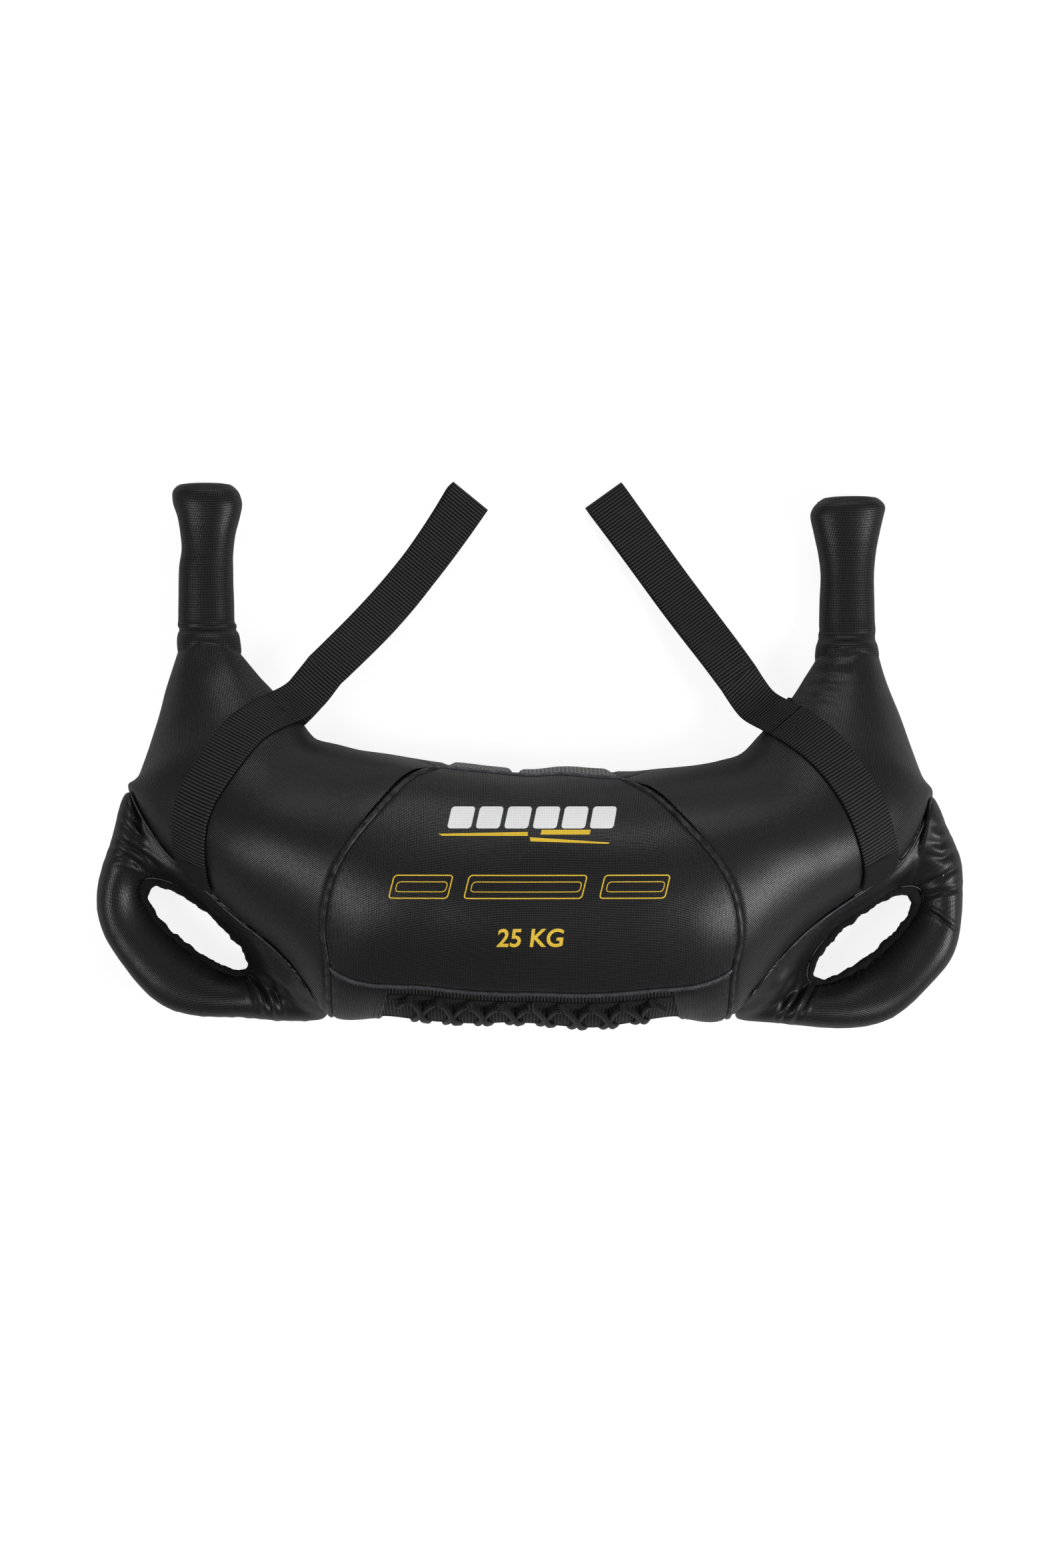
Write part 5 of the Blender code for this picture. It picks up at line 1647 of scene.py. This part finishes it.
def inner_finishes():
    """The pieces inside keep their shapes and get their finishes."""
    kept = {
        "inner_liner": "lining", "front_wadding": "wadding", "rear_wadding": "wadding",
        "sand_pouch_left": "sand_pouch", "sand_pouch_centre": "sand_pouch",
        "sand_pouch_right": "sand_pouch",
    }
    for side in ("left", "right"):
        kept[f"{side}_neck_closure"] = "lining"
        kept[f"{side}_horn_core"] = "core_foam"
        kept[f"{side}_corner_core"] = "wadding"
    for node, finish in kept.items():
        mesh = bpy.data.objects[node].data
        for slot in range(max(len(mesh.materials), 1)):
            if slot < len(mesh.materials):
                mesh.materials[slot] = FINISHES[finish]
            else:
                mesh.materials.append(FINISHES[finish])


def camera():
    data = bpy.data.cameras.new("camera")
    data.lens = LENS
    data.sensor_width = SENSOR
    data.clip_end = 20.0
    made = linked("camera", data)
    made.location = CAMERA_PLACE
    bpy.context.scene.camera = made


def soft_light(name, place, aim, size, power):
    """A rectangular lamp that faces the point it aims at."""
    data = bpy.data.lights.new(name, "AREA")
    data.shape = "RECTANGLE"
    data.size, data.size_y = size
    data.energy = power
    made = linked(name, data)
    made.location = place
    made.rotation_euler = (Vector(aim) - Vector(place)).to_track_quat("-Z", "Y").to_euler()


def studio():
    """A pale floor, a dim even surround and soft lamps from the sides."""
    scene = bpy.context.scene
    scene.view_settings.view_transform = "Standard"
    world = bpy.data.worlds.new("surround")
    scene.world = world
    world.use_nodes = True
    tree = world.node_tree
    back = tree.nodes["Background"]
    path = tree.nodes.new("ShaderNodeLightPath")
    back.inputs["Color"].default_value = (1.0, 1.0, 1.0, 1.0)
    pick = tree.nodes.new("ShaderNodeMix")
    pick.inputs[2].default_value = SURROUND_STRENGTH
    pick.inputs[3].default_value = 1.0
    tree.links.new(path.outputs["Is Camera Ray"], pick.inputs[0])
    tree.links.new(pick.outputs[0], back.inputs["Strength"])

    bm = bmesh.new()
    bmesh.ops.create_grid(bm, x_segments=1, y_segments=1, size=FLOOR_HALF_WIDTH)
    mesh = mesh_of("floor", bm)
    floor = linked("floor", mesh)
    finish = Finish("floor", Roughness=0.9, Specular_IOR_Level=0.0, Emission_Strength=1.0)
    path = finish.node("ShaderNodeLightPath")
    lit = Signal(finish, path.outputs["Is Camera Ray"])
    finish.feed("Base Color", finish.mix(lit, grey(0.80), grey(0.25)))
    finish.feed("Emission Color", finish.mix(lit, grey(0.0), grey(0.86)))
    mesh.materials.append(finish.material)

    for name, lamp in LAMPS.items():
        soft_light(name, *lamp)


def main():
    camera()
    centre_panel = panels()
    mesh_pad()
    placket()
    welts()
    seam_stitches()
    corner_handles()
    horns()
    straps()
    lacing()
    prints(centre_panel)
    inner_finishes()
    studio()


main()
